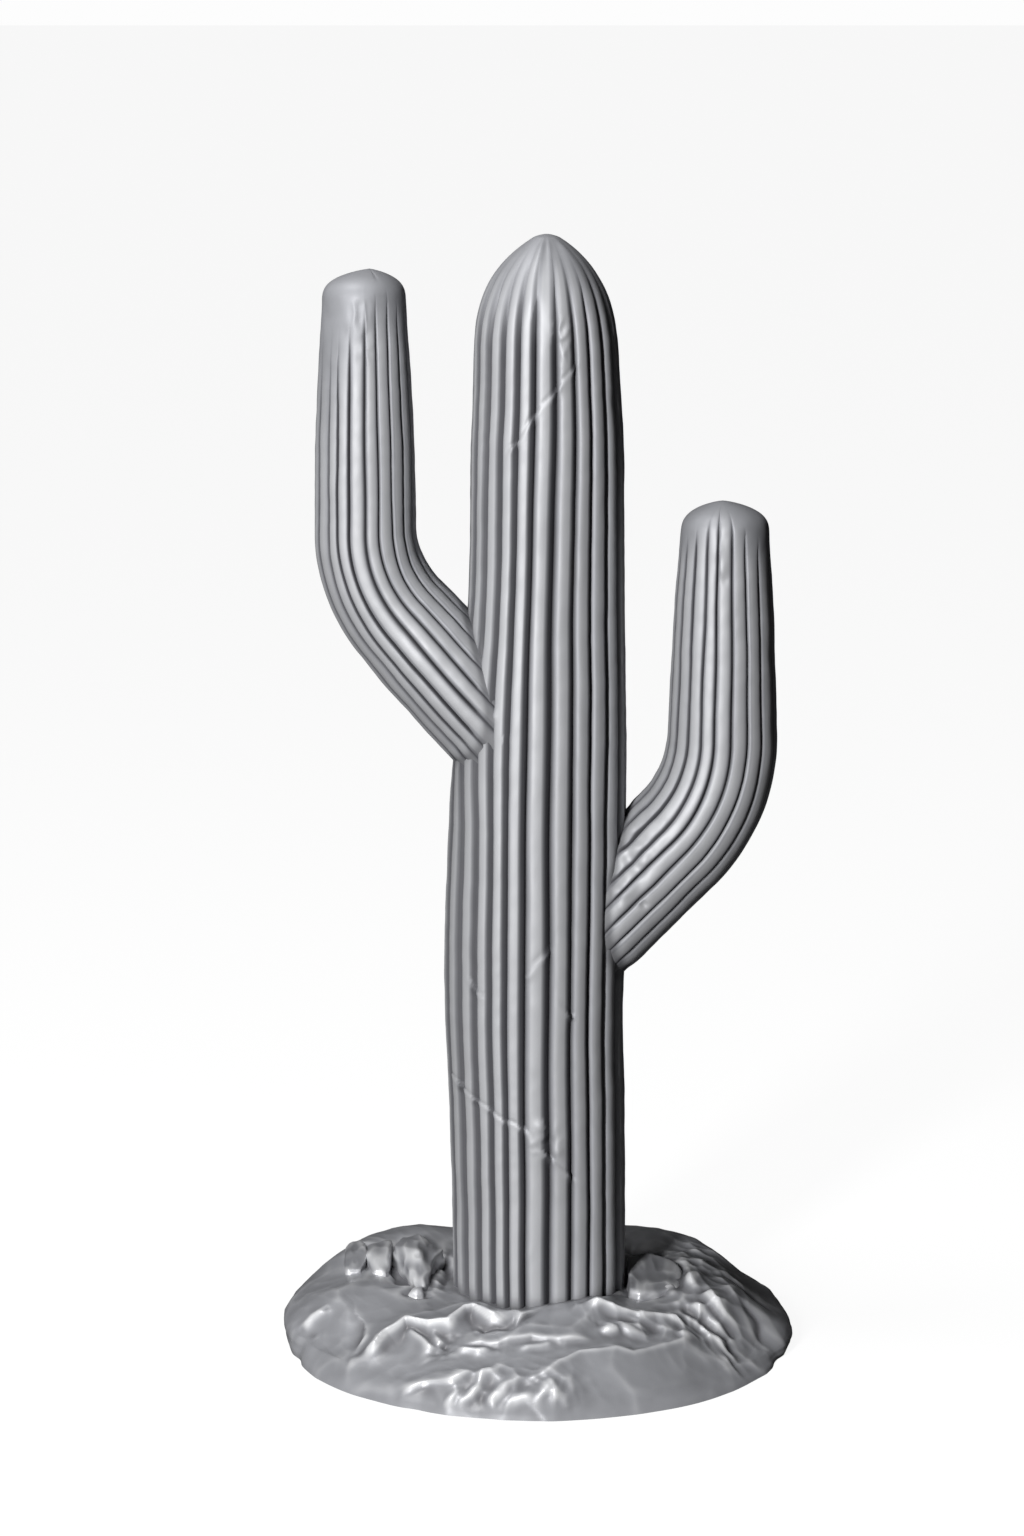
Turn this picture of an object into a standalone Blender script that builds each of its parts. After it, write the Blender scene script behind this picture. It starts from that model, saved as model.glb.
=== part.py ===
"""Cactus statue: a ribbed trunk with two upturned arms on a low round base of modelled rock.

Metres, +Z up. The origin is under the middle of the base, on its flat underside, and the front faces -Y.
The arms lie in the XZ plane. Each arm is two pieces that meet halfway round its bend.
"""

import math
from bisect import bisect_right

import bmesh
import bpy
from mathutils import Vector

# Whole figure
HEIGHT = 1.2
GAP = 0.0003  # between two pieces that touch in the real casting
JOINT_CLEARANCE = 0.0004  # how far the trunk's cutter stands off the trunk
POINTS_ON_A_RIB = (0.0, 0.2, 0.5, 0.8)  # from one groove to the next, in shares of the rib's width
CROWN_FULLNESS = 0.55  # under 1 gives broad round crowns and narrow grooves

# Trunk: pairs of height and value
TRUNK_FOOT = 0.020
TRUNK_GIRTH = (
    (0.00, 0.0932), (0.30, 0.0953), (0.46, 0.0970), (0.64, 0.0928),
    (0.81, 0.0832), (0.98, 0.0806), (1.06, 0.0768), (HEIGHT, 0.0768),
)
TRUNK_AXIS = ((0.00, 0.0), (0.40, 0.0), (0.75, 0.0010), (0.90, 0.0045), (1.02, 0.0078), (HEIGHT, 0.0080))
TRUNK_OUTLINE_MIDDLE = (  # halfway between the left and right edges, which are not as straight as the ribs
    (0.00, 0.0015), (0.15, 0.0010), (0.27, -0.0012), (0.38, -0.0044), (0.60, 0.0), (0.80, 0.0080),
    (1.00, 0.0090), (1.15, 0.0065), (HEIGHT, 0.0080),
)
TRUNK_DOME = 0.170  # height of the pointed top
TRUNK_DOME_SHAPE = (3.7, 0.88)
TRUNK_RIB_DEPTH = 0.0062
LOW_GROOVES = (-76, -57, -42.5, -31, -20.8, -9.3, 7.6, 23.4, 37.2, 51.5, 67.5)  # degrees from the front, towards +X
HIGH_GROOVES = (-86, -69, -52, -36.5, -22.8, -9.5, 8.2, 24, 37.6, 53.5, 69)
GROOVES_SPREAD = (0.54, 0.75)  # the heights between which the low spacing turns into the high one
BACK_RIBS = 15  # even ones, which fill the rest of the turn

# Arms: girth is pairs of distance back from the tip and radius
LEFT_ARM = {
    "name": "left_arm",
    "side": -1,
    "root_height": 0.631,  # where the lower limb's axis starts, on the trunk's axis
    "corner": (0.1826, 0.8364),  # where the two limbs' axes cross: distance out and height
    "bend_radius": 0.146,
    "tip": 1.164,
    "tip_drift": 0.0,
    "girth": ((0.0, 0.0428), (0.054, 0.0450), (0.0955, 0.0480), (0.18, 0.0522), (0.286, 0.0542), (0.42, 0.0608)),
    "dome": 0.035,
    "ribs": 21,
    "first_groove": 2.0,
}
RIGHT_ARM = {
    "name": "right_arm",
    "side": 1,
    "root_height": 0.4044,
    "corner": (0.1960, 0.6040),
    "bend_radius": 0.162,
    "tip": 0.9205,
    "tip_drift": 0.001,
    "girth": ((0.0, 0.0452), (0.042, 0.0474), (0.085, 0.0510), (0.15, 0.0545), (0.22, 0.0575), (0.38, 0.0632)),
    "dome": 0.036,
    "ribs": 20,
    "first_groove": 8.0,
}
ARM_DOME_SHAPE = (3.3, 0.85)
ARM_RIB_DEPTH = 0.0050
ARM_RIB_FADE = 0.060  # the ribs die away over this length before an arm's tip

# Base: rows up to the lip, each a height and radius at the front, then at the sides and back
RIM = (
    ((0.0000, 0.2760), (0.0000, 0.2735)),
    ((0.0060, 0.2745), (0.0090, 0.2725)),
    ((0.0120, 0.2680), (0.0135, 0.2655)),
    ((0.0180, 0.2610), (0.0210, 0.2745)),
    ((0.0240, 0.2530), (0.0300, 0.2790)),
)
FRONT_RISE = ((0.08, 0.0670), (0.10, 0.0655), (0.15, 0.0560), (0.18, 0.0470), (0.22, 0.0370), (0.253, 0.0240))
BACK_RISE = (
    (0.08, 0.0740), (0.13, 0.0720), (0.17, 0.0700), (0.215, 0.0640),
    (0.243, 0.0550), (0.262, 0.0440), (0.279, 0.0300),
)
LIP_DROP = 0.011  # how much lower the lip is at the right than at the left
DROP_STARTS = 0.190  # radius on the top where that drop begins
FRONT_ENDS = 52  # degrees to either side where the front's form starts to turn into the sides'
SIDES_START = 84
SPOKES = 240
TOP_RINGS = 40
HUB = 0.05  # radius of the last ring on the top, under the trunk
KEPT_FACES = 0.18  # share of the fine grid's faces that the finished base keeps
ROCKS_END = 0.030  # rocks and ridges fade over this width inside the lip
ROCKS_LEFT_AT_LIP = 0.25
CREST_SHARPNESS = 1.35

# Swells and hollows: x, y, half length, half width, turn in degrees, rise
SWELLS = (
    (-0.160, 0.128, 0.090, 0.040, 38, 0.016),  # ridge at the back left
    (-0.192, 0.060, 0.036, 0.030, -60, 0.008),  # outer block
    (-0.110, 0.205, 0.040, 0.045, 0, -0.007),  # dip behind the trunk's left
    (0.134, -0.003, 0.036, 0.044, 0, 0.011),  # smooth boulder at the right
    (0.240, 0.060, 0.090, 0.045, -80, -0.006),  # low shoulder at the right
    (0.120, 0.150, 0.045, 0.032, -30, 0.008),  # humps at the back right
    (0.190, 0.120, 0.050, 0.030, -60, 0.008),
    (0.010, 0.190, 0.070, 0.034, 0, 0.006),  # hump at the back
)

# Ridges and clefts, from left to right: plan points, rise, how wide it falls behind and in front, and the
# share of its length over which either end dies away
RIDGES = (
    # ledge at the front left, with a hollow under its end
    (((-0.205, -0.136), (-0.170, -0.135), (-0.142, -0.104), (-0.095, -0.112), (-0.079, -0.094),
      (-0.052, -0.100), (-0.030, -0.124)), 0.009, 0.034, 0.009, 0.12),
    (((-0.072, -0.134), (-0.034, -0.136)), -0.007, 0.009, 0.012, 0.40),
    # second ledge, across the front
    (((-0.095, -0.168), (-0.062, -0.162), (-0.034, -0.162), (0.013, -0.167), (0.050, -0.157)),
     0.005, 0.016, 0.007, 0.25),
    # upper edge and left edge of the smooth slab at the front
    (((-0.012, -0.240), (0.019, -0.210), (0.037, -0.196), (0.059, -0.184), (0.091, -0.175), (0.118, -0.182)),
     0.006, 0.009, 0.026, 0.20),
    # low fold at the front left
    (((-0.152, -0.216), (-0.140, -0.212), (-0.111, -0.216), (-0.094, -0.220), (-0.069, -0.214)),
     0.005, 0.016, 0.006, 0.25),
    # ledge at the front right and the lump under it
    (((0.042, -0.084), (0.075, -0.089), (0.111, -0.100), (0.140, -0.089), (0.158, -0.100)),
     0.007, 0.022, 0.008, 0.25),
    (((0.066, -0.128), (0.096, -0.131), (0.126, -0.146)), 0.008, 0.012, 0.009, 0.30),
    # crumpled band down the right, between two furrows
    (((0.147, 0.094), (0.165, -0.006), (0.182, -0.044), (0.198, -0.062)), 0.007, 0.012, 0.012, 0.30),
    (((0.190, 0.100), (0.204, 0.023), (0.223, -0.030), (0.225, -0.068), (0.217, -0.120)),
     -0.005, 0.007, 0.007, 0.20),
    (((0.154, -0.099), (0.176, -0.113), (0.204, -0.126)), -0.005, 0.006, 0.006, 0.30),
    # three worn ribs of the outer block
    (((-0.212, 0.110), (-0.204, 0.014)), 0.009, 0.009, 0.007, 0.30),
    (((-0.192, 0.110), (-0.180, 0.000)), 0.009, 0.008, 0.008, 0.30),
    (((-0.174, 0.100), (-0.165, 0.040)), 0.008, 0.008, 0.008, 0.40),
    # deep cleft, the edge of the inner block beside it, and the hollow behind that
    (((-0.160, 0.084), (-0.150, 0.020), (-0.143, -0.030)), -0.018, 0.012, 0.012, 0.35),
    (((-0.150, 0.096), (-0.135, 0.020), (-0.121, -0.036)), 0.018, 0.024, 0.006, 0.12),
    (((-0.112, 0.070), (-0.098, 0.010)), -0.010, 0.010, 0.014, 0.40),
)

# Finish: one satin grey for every piece
GREY = (0.305, 0.310, 0.330, 1.0)
ROUGHNESS = 0.34


def clear_scene():
    for obj in list(bpy.data.objects):
        bpy.data.objects.remove(obj, do_unlink=True)


def satin_grey(name):
    material = bpy.data.materials.new(name + "_satin_grey")
    material.use_nodes = True
    shader = material.node_tree.nodes["Principled BSDF"]
    shader.inputs["Base Color"].default_value = GREY
    shader.inputs["Roughness"].default_value = ROUGHNESS
    shader.inputs["Metallic"].default_value = 0.0
    return material


def smooth_value(points, place):
    """The value at a place on the smooth curve through pairs of place and value."""
    places = [point[0] for point in points]
    if place <= places[0]:
        return points[0][1]
    if place >= places[-1]:
        return points[-1][1]

    def slope(index):
        before, after = points[max(index - 1, 0)], points[min(index + 1, len(points) - 1)]
        return (after[1] - before[1]) / (after[0] - before[0])

    low = bisect_right(places, place) - 1
    span = places[low + 1] - places[low]
    t = (place - places[low]) / span
    start, end = points[low][1], points[low + 1][1]
    return (
        (2 * t**3 - 3 * t**2 + 1) * start
        + (t**3 - 2 * t**2 + t) * span * slope(low)
        + (3 * t**2 - 2 * t**3) * end
        + (t**3 - t**2) * span * slope(low + 1)
    )


def ease(value):
    value = min(max(value, 0.0), 1.0)
    return value * value * (3 - 2 * value)


def dome_factor(share, shape):
    """How much of the girth is left at a share of the way up a domed end."""
    steepness, roundness = shape
    return (1 - min(max(share, 0.0), 1.0) ** steepness) ** roundness


def rib_points(grooves):
    """(angle, groove depth share) round one section: 1 in a groove, 0 on a crown."""
    points = []
    for start, end in zip(grooves, grooves[1:] + (grooves[0] + 360,)):
        for share in POINTS_ON_A_RIB:
            crown = math.sin(math.pi * share) ** CROWN_FULLNESS
            points.append((math.radians(start + (end - start) * share), 1 - crown))
    return points


def trunk_ribs(height):
    """The trunk's ribs at a height: those at the front are spaced by hand and spread out higher up."""
    start, end = GROOVES_SPREAD
    share = ease((height - start) / (end - start))
    front = tuple(low + (high - low) * share for low, high in zip(LOW_GROOVES, HIGH_GROOVES))
    step = (front[0] + 360 - front[-1]) / BACK_RIBS
    return rib_points(front + tuple(front[-1] + step * i for i in range(1, BACK_RIBS)))


def arm_ribs(arm):
    step = 360 / arm["ribs"]
    return rib_points(tuple(arm["first_groove"] + step * i for i in range(arm["ribs"])))


def section(centre, tangent, radius, depth, ribs, sway=0.0):
    """One ribbed ring across a limb that runs along its tangent in the XZ plane. Sway moves its two edges."""
    sideways = Vector((tangent.z, 0, -tangent.x))
    front = Vector((0, -1, 0))
    ring = []
    for angle, groove in ribs:
        out = radius - depth * groove
        ring.append(
            centre
            + (out * math.sin(angle) + sway * abs(math.sin(angle))) * sideways
            + out * math.cos(angle) * front
        )
    return ring


def stand_off(ring, distance):
    """A level ring moved outwards by the same distance square to each of its edges."""
    moved = []
    for before, here, after in zip(ring[-1:] + ring[:-1], ring, ring[1:] + ring[:1]):
        first = Vector((here.y - before.y, before.x - here.x, 0)).normalized()
        second = Vector((after.y - here.y, here.x - after.x, 0)).normalized()
        moved.append(here + (first + second) * distance / (1 + first.dot(second)))
    return moved


def loft(name, rings, tip=None):
    """A closed solid through its rings: a flat first end, and a flat or pointed last end.

    It is made of triangles that all lean the same way, so that a solid and its cutter have the same facets.
    """
    bm = bmesh.new()
    loops = [[bm.verts.new(point) for point in ring] for ring in rings]
    count = len(loops[0])
    for low, high in zip(loops, loops[1:]):
        for i in range(count):
            j = (i + 1) % count
            bm.faces.new((low[i], low[j], high[j]))
            bm.faces.new((low[i], high[j], high[i]))
    bm.faces.new(list(reversed(loops[0])))
    if tip is None:
        bm.faces.new(loops[-1])
    else:
        top = bm.verts.new(tip)
        for i in range(count):
            bm.faces.new((loops[-1][i], loops[-1][(i + 1) % count], top))
    return mesh_object(name, bm)


def mesh_object(name, bm):
    mesh = bpy.data.meshes.new(name)
    bm.to_mesh(mesh)
    bm.free()
    obj = bpy.data.objects.new(name, mesh)
    bpy.context.collection.objects.link(obj)
    mesh.materials.append(satin_grey(name))
    mesh.shade_smooth()
    mesh.set_sharp_from_angle(angle=math.radians(50))
    return obj


def dome_stops(count):
    """Shares of the way up a dome, closer together towards its tip."""
    return [math.sin(0.5 * math.pi * i / count) for i in range(count)]


def trunk_solid(name, foot=TRUNK_FOOT, grown=0.0):
    """The ribbed trunk from its flat foot to its pointed tip, or its cutter when it is grown."""
    spring = HEIGHT - TRUNK_DOME
    heights = [foot + (spring - foot) * i / 12 for i in range(12)]
    heights += [spring + TRUNK_DOME * share for share in dome_stops(9)]
    rings = []
    for height in heights:
        left = dome_factor((height - spring) / TRUNK_DOME, TRUNK_DOME_SHAPE)
        girth = smooth_value(TRUNK_GIRTH, height) * left
        middle = smooth_value(TRUNK_AXIS, height)
        sway = (smooth_value(TRUNK_OUTLINE_MIDDLE, height) - middle) * left
        centre = Vector((middle, 0, height))
        ring = section(centre, Vector((0, 0, 1)), girth, TRUNK_RIB_DEPTH * left, trunk_ribs(height), sway)
        rings.append(stand_off(ring, grown))
    return loft(name, rings, tip=Vector((smooth_value(TRUNK_AXIS, HEIGHT), 0, HEIGHT + grown)))


def arm_course(arm):
    """Lengths along an arm's axis: to the bend's start, to its end, and to the tip."""
    out, height = arm["corner"]
    rise = height - arm["root_height"]
    turn = math.atan2(out, rise)
    tangent_length = arm["bend_radius"] * math.tan(turn / 2)
    bend_start = math.hypot(out, rise) - tangent_length
    bend_end = bend_start + arm["bend_radius"] * turn
    return turn, bend_start, bend_end, bend_end + arm["tip"] - height - tangent_length


def arm_axis(arm, length):
    """The axis point and its tangent at a length along an arm from the trunk's axis."""
    turn, bend_start, bend_end, whole = arm_course(arm)
    side = arm["side"]
    if length <= bend_start:
        tangent = Vector((side * math.sin(turn), 0, math.cos(turn)))
        return Vector((0, 0, arm["root_height"])) + tangent * length, tangent
    radius = arm["bend_radius"]
    angle = turn - (min(length, bend_end) - bend_start) / radius
    tangent = Vector((side * math.sin(angle), 0, math.cos(angle)))
    out = arm["corner"][0] - radius * (1 - math.cos(angle))
    height = arm["corner"][1] + radius * math.tan(turn / 2) - radius * math.sin(angle)
    beyond = max(length - bend_end, 0.0)
    drift = arm["tip_drift"] * beyond / (whole - bend_end)
    return Vector((side * out + drift, 0, height + beyond)), tangent


def arm_ring(arm, length, ribs, shift=0.0):
    """One ribbed ring of an arm, moved a little along the axis when it faces another piece."""
    whole = arm_course(arm)[3]
    to_tip = whole - length
    left = dome_factor(1 - to_tip / arm["dome"], ARM_DOME_SHAPE)
    depth = ARM_RIB_DEPTH * left * ease(0.25 + 0.75 * to_tip / ARM_RIB_FADE)
    centre, tangent = arm_axis(arm, length)
    return section(centre + tangent * shift, tangent, smooth_value(arm["girth"], to_tip) * left, depth, ribs)


def arm_solids(arm):
    """The lower and the upper half of an arm, which meet across the middle of its bend."""
    turn, bend_start, bend_end, whole = arm_course(arm)
    middle = (bend_start + bend_end) / 2
    spring = whole - arm["dome"]
    ribs = arm_ribs(arm)
    lower_stops = [0.02, bend_start * 0.55, bend_start, (bend_start + middle) / 2]
    upper_stops = [(middle + bend_end) / 2] + [bend_end + (spring - bend_end) * i / 4 for i in range(4)]
    upper_stops += [spring + arm["dome"] * share for share in dome_stops(6)]
    lower = [arm_ring(arm, stop, ribs) for stop in lower_stops] + [arm_ring(arm, middle, ribs, -GAP / 2)]
    upper = [arm_ring(arm, middle, ribs, GAP / 2)] + [arm_ring(arm, stop, ribs) for stop in upper_stops]
    tip = arm_axis(arm, whole)[0]
    return loft(arm["name"] + "_lower", lower), loft(arm["name"] + "_upper", upper, tip=tip)


def turn_to_sides(angle):
    """0 over the front of the base and 1 round its sides and back."""
    from_front = abs((math.degrees(angle) + 180) % 360 - 180)
    return ease((from_front - FRONT_ENDS) / (SIDES_START - FRONT_ENDS))


def swell_rise(x, y, swell):
    """What one rounded swell or hollow adds to the mound at a place."""
    middle_x, middle_y, half_length, half_width, turn, rise = swell
    cos, sin = math.cos(math.radians(turn)), math.sin(math.radians(turn))
    along = ((x - middle_x) * cos + (y - middle_y) * sin) / half_length
    across = ((y - middle_y) * cos - (x - middle_x) * sin) / half_width
    return rise * math.exp(-((along**2 + across**2) ** 1.5))


def ridge_rise(x, y, ridge):
    """What one ridge or cleft adds at a place: highest on its line, and falling away on either side."""
    points, rise, behind, in_front, fade = ridge
    whole = sum(math.dist(a, b) for a, b in zip(points, points[1:]))
    nearest, share, width, passed = math.inf, 0.0, behind, 0.0
    for (ax, ay), (bx, by) in zip(points, points[1:]):
        span = math.hypot(bx - ax, by - ay)
        t = min(max(((x - ax) * (bx - ax) + (y - ay) * (by - ay)) / span**2, 0.0), 1.0)
        off_x, off_y = x - ax - (bx - ax) * t, y - ay - (by - ay) * t
        off = math.hypot(off_x, off_y)
        if off < nearest:
            nearest, share = off, (passed + span * t) / whole
            width = behind if (bx - ax) * off_y >= (by - ay) * off_x else in_front
        passed += span
    ends = ease(share / fade) * ease((1 - share) / fade)
    return rise * ends * math.exp(-((nearest / width) ** CREST_SHARPNESS))


def lip_drop(angle):
    """How far the lip and what is under it are pressed down at an angle."""
    return LIP_DROP * max(math.sin(angle), 0.0) ** 2


def top_height(x, y, lip):
    """The height of the base's top at a place inside its lip."""
    out = math.hypot(x, y)
    angle = math.atan2(x, -y)
    sides = turn_to_sides(angle)
    mound = (1 - sides) * smooth_value(FRONT_RISE, out) + sides * smooth_value(BACK_RISE, out)
    mound -= lip_drop(angle) * ease((out - DROP_STARTS) / (lip - DROP_STARTS))
    rocks = sum(swell_rise(x, y, swell) for swell in SWELLS) + sum(ridge_rise(x, y, ridge) for ridge in RIDGES)
    return mound + rocks * (ROCKS_LEFT_AT_LIP + (1 - ROCKS_LEFT_AT_LIP) * ease((lip - out) / ROCKS_END))


def base_solid():
    """The rock base: a thin foot, a lip over it at the sides and back, and an uneven top."""
    rings = [[] for _ in range(len(RIM) + TOP_RINGS)]
    for spoke in range(SPOKES):
        angle = 2 * math.pi * spoke / SPOKES
        sides = turn_to_sides(angle)
        way = Vector((math.sin(angle), -math.cos(angle), 0))
        for ring, (front, side) in zip(rings, RIM):
            height, lip = (a + (b - a) * sides for a, b in zip(front, side))
            pressed = height * (1 - lip_drop(angle) / RIM[-1][1][0])
            ring.append(way * lip + Vector((0, 0, pressed)))
        for step, ring in enumerate(rings[len(RIM) :], 1):
            place = way * (lip + (HUB - lip) * step / TOP_RINGS)
            ring.append(place + Vector((0, 0, top_height(place.x, place.y, lip))))
    base = loft("base", rings, tip=Vector((0, 0, rings[-1][0].z)))
    thin = base.modifiers.new("fewer_faces", "DECIMATE")
    thin.ratio = KEPT_FACES
    return base


def cut(solid, cutter):
    """Takes the cutter's shape away from a solid, and keeps the cutter out of the model."""
    cutter.hide_render = True
    cutter.display_type = "WIRE"
    modifier = solid.modifiers.new("clear_of_trunk", "BOOLEAN")
    modifier.operation = "DIFFERENCE"
    modifier.solver = "EXACT"
    modifier.object = cutter


def main():
    clear_scene()
    trunk_solid("trunk")
    cutter = trunk_solid("trunk_cutter", foot=TRUNK_FOOT - GAP, grown=JOINT_CLEARANCE)
    cut(base_solid(), cutter)
    for arm in (LEFT_ARM, RIGHT_ARM):
        lower, _ = arm_solids(arm)
        cut(lower, cutter)


main()
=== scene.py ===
"""The looks of the cactus statue: a ribbed trunk with two upturned arms on a base modelled as rock.

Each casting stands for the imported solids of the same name, in their place, with its ribs, creases, dents and
rocks carved finely. Five stones are pieces of their own. Metres, +Z up, the front towards -Y.
"""

import math

import bpy
import numpy as np
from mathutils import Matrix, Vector, noise


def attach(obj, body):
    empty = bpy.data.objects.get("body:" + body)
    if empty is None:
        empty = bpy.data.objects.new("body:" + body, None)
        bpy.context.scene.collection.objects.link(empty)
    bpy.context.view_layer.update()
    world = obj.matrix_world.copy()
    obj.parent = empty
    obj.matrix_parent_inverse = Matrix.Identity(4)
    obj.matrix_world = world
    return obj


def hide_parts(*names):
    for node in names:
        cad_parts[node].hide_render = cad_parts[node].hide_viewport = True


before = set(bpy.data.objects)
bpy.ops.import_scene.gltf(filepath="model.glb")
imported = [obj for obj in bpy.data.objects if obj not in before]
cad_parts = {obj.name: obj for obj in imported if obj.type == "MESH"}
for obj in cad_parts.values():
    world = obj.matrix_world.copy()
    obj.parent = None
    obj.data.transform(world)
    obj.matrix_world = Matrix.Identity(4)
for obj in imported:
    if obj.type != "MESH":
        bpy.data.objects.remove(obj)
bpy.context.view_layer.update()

# Whole figure
HEIGHT = 1.2

# Trunk: girth (its radius), the axis's x and the x of the outline's middle, in pairs of height and value
TRUNK_FOOT = 0.020
TRUNK_GIRTH = (
    (0.00, 0.0932), (0.30, 0.0953), (0.46, 0.0970), (0.64, 0.0928),
    (0.81, 0.0832), (0.98, 0.0806), (1.06, 0.0768), (HEIGHT, 0.0768),
)
TRUNK_AXIS = ((0.00, 0.0), (0.40, 0.0), (0.75, 0.0010), (0.90, 0.0045), (1.02, 0.0078), (HEIGHT, 0.0080))
TRUNK_OUTLINE_MIDDLE = (
    (0.00, 0.0015), (0.15, 0.0010), (0.27, -0.0012), (0.38, -0.0044), (0.60, 0.0), (0.80, 0.0080),
    (1.00, 0.0090), (1.15, 0.0065), (HEIGHT, 0.0080),
)
# Height of the dome and of the blunt end of its tip, and the dome's steepness and roundness
TRUNK_DOME = 0.170
TRUNK_TIP = 0.0035
TRUNK_DOME_SHAPE = (3.7, 0.88)
# The angles in degrees of the grooves that face the front, low and high on the trunk, and the heights between
# which they pass from the one to the other
LOW_GROOVES = (-76, -57, -42.5, -31, -20.8, -9.3, 7.6, 23.4, 37.2, 51.5, 67.5)
HIGH_GROOVES = (-86, -69, -52, -36.5, -22.8, -9.5, 8.2, 24, 37.6, 53.5, 69)
GROOVES_SPREAD = (0.54, 0.75)
BACK_RIBS = 15
TRUNK_RIBS = len(LOW_GROOVES) - 1 + BACK_RIBS
# Height, and how many rows lie between it and the stop before: close together where creases cross the ribs
TRUNK_STOPS = (
    (TRUNK_FOOT, 0), (0.048, 1), (0.175, 20), (0.325, 75), (0.370, 8), (0.470, 30), (0.660, 32),
    (0.720, 14), (0.950, 38), (1.135, 76), (1.180, 14), (1.1955, 8), (1.1998, 8),
)
# The radius at which the trunk's skin is unrolled for what is drawn on it
TRUNK_RADIUS = TRUNK_GIRTH[0][1]
# Where the ribs go over into shallow valleys, above the spring of the dome, and the share of a groove's depth
# that is left
VALLEYS_START = 0.045
VALLEYS_COME_IN = TRUNK_DOME - 0.075
VALLEY_DEPTH = 0.34
# How far below the tip the grooves fade, and for the left and the right side how much lower, from which angle
# and over how many degrees
DOME_FADE = 0.055
DOME_FADE_AT_SIDES = ((0.045, -14, 20), (0.035, 10, 30))
# How unevenly the ribs were made: how much, over what length, seed. The wander is in degrees, the rest is a
# share of the depth
TRUNK_WANDER = (0.8, 0.13, 2.0)
TRUNK_DEPTHS = (0.22, 0.25, 12.0)
VALLEY_HANDWORK = (0.30, 0.20, 16.0)
ARM_WANDER = (1.8, 0.09, 0.0)
ARM_DEPTHS = (0.25, 0.16, 4.0)

# Arms, on the axes of the solids. The girth and the knots go by the distance from the tip. apex is how far
# the tip leans. The groove at the angle in ribs_end runs up nearest to the tip. merge is the share of the
# trunk's grooves that the root fills, and how far out it does
LEFT_ARM = {
    "name": "left_arm",
    "nodes": ("left_arm_lower", "left_arm_upper"),
    "side": -1,
    "root_height": 0.631,
    "corner": (0.1826, 0.8364),
    "bend_radius": 0.146,
    "tip": 1.164,
    "tip_drift": 0.0,
    "girth": (
        (0.0, 0.0428), (0.054, 0.0450), (0.0955, 0.0480), (0.18, 0.0522), (0.286, 0.0542), (0.42, 0.0608),
    ),
    "dome": 0.035,
    "grooves": (-66.0, -45.0, -32.0, -17.0, 2.5, 18.5, 35.0, 53.0),
    "back_ribs": 13,
    "root_swell": 1.19,
    "apex": 0.006,
    "faint_angle": -52,
    "faint_length": 0.11,
    "lumpy_angle": 20,
    "lumps": 0.0006,
    "rib_fade": 0.070,
    "ribs_end": (30, 0.012),
    "root_sink": 0.10,
    "merge": (0.75, 0.009),
    "knots": (
        (-4, 0.050, 0.016, 0.0016, 0.0),
        (6, 0.084, 0.012, 0.0012, 0.0),
        (25, 0.005, 0.004, 0.0, -0.0015),
    ),
    "seed": 3.0,
}
RIGHT_ARM = {
    "name": "right_arm",
    "nodes": ("right_arm_lower", "right_arm_upper"),
    "side": 1,
    "root_height": 0.4044,
    "corner": (0.1960, 0.6040),
    "bend_radius": 0.162,
    "tip": 0.9205,
    "tip_drift": 0.001,
    "girth": (
        (0.0, 0.0452), (0.042, 0.0474), (0.085, 0.0510), (0.15, 0.0545), (0.22, 0.0575), (0.38, 0.0632),
    ),
    "dome": 0.036,
    "grooves": (-60.0, -42.0, -25.0, -11.0, 7.5, 26.0, 45.0, 71.0),
    "back_ribs": 13,
    "root_swell": 1.0,
    "apex": -0.003,
    "faint_angle": 60,
    "faint_length": 0.03,
    "lumpy_angle": -30,
    "lumps": 0.0050,
    "rib_fade": 0.045,
    "ribs_end": (-8, -0.006),
    "root_sink": 0.45,
    "merge": (0.30, 0.005),
    "knots": (
        (14, 0.445, 0.0035, 0.0, -0.0030),
        (-10, 0.452, 0.008, 0.0, 0.0022),
        (0, 0.462, 0.006, 0.0, 0.0018),
        (-9, 0.046, 0.012, 0.0014, 0.0016),
        (-7, 0.066, 0.007, 0.0, 0.0018),
        (-2, 0.078, 0.005, 0.0, -0.0016),
    ),
    "seed": 9.0,
}
ARM_DOME_SHAPE = (3.3, 0.85)
ARM_START = 0.055
ARM_RADIUS = 0.055
# The half width in degrees of the stretch of faint ribs, and of the grooves that run up highest, and how much
# lower the others end
FAINT_WIDTH = 30
RIBS_END_LOWER = 0.040
RIBS_END_WIDTH = 34
# Where an arm is lumpy: distance out, reach, half width in degrees. The size of the lumps, and their seed
LUMPY_PLACE = (0.165, 0.050, 32)
LUMP_SIZE = 0.016
LUMP_SEED = 70.0
# Where the swelling of the root ends, and over what length
SWELL_ENDS = 0.26
SWELL_LENGTH = 0.16

# A rib's cross-section: the share of the way from its crown to its edge, and how many degrees it has turned
# there
POINTS_ON_A_RIB = 12
POINTS_GATHERED = 0.4
TRUNK_CROWN = 0.40
ARM_CROWN = 0.47
TRUNK_RIB = ((0.0, 0), (0.38, 9), (0.58, 30), (0.78, 54), (1.0, 67))
ARM_RIB = ((0.0, 0), (0.56, 11), (0.74, 30), (0.88, 60), (1.0, 70))
# How far from a crown towards the groove the painted shade begins, on its right side and on its left: sooner
# on the right, which faces away from the light
TRUNK_PAINTED_SHADE = (0.36, 0.72)
ARM_PAINTED_SHADE = (0.56, 0.76)
PAINTED_SHADE_COMES_IN = 0.30
# The painted highlight along a crown: strength, half width, fade
CROWN_HIGHLIGHT = (0.8, 0.6, 0.2)
# How soon the painted shade is full where a groove grows deeper, and how much of it is missing on the dome
TRUNK_SHADE_GAIN = 12
ARM_SHADE_GAIN = 3
SHADE_LOST_ON_DOME = 0.65
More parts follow.
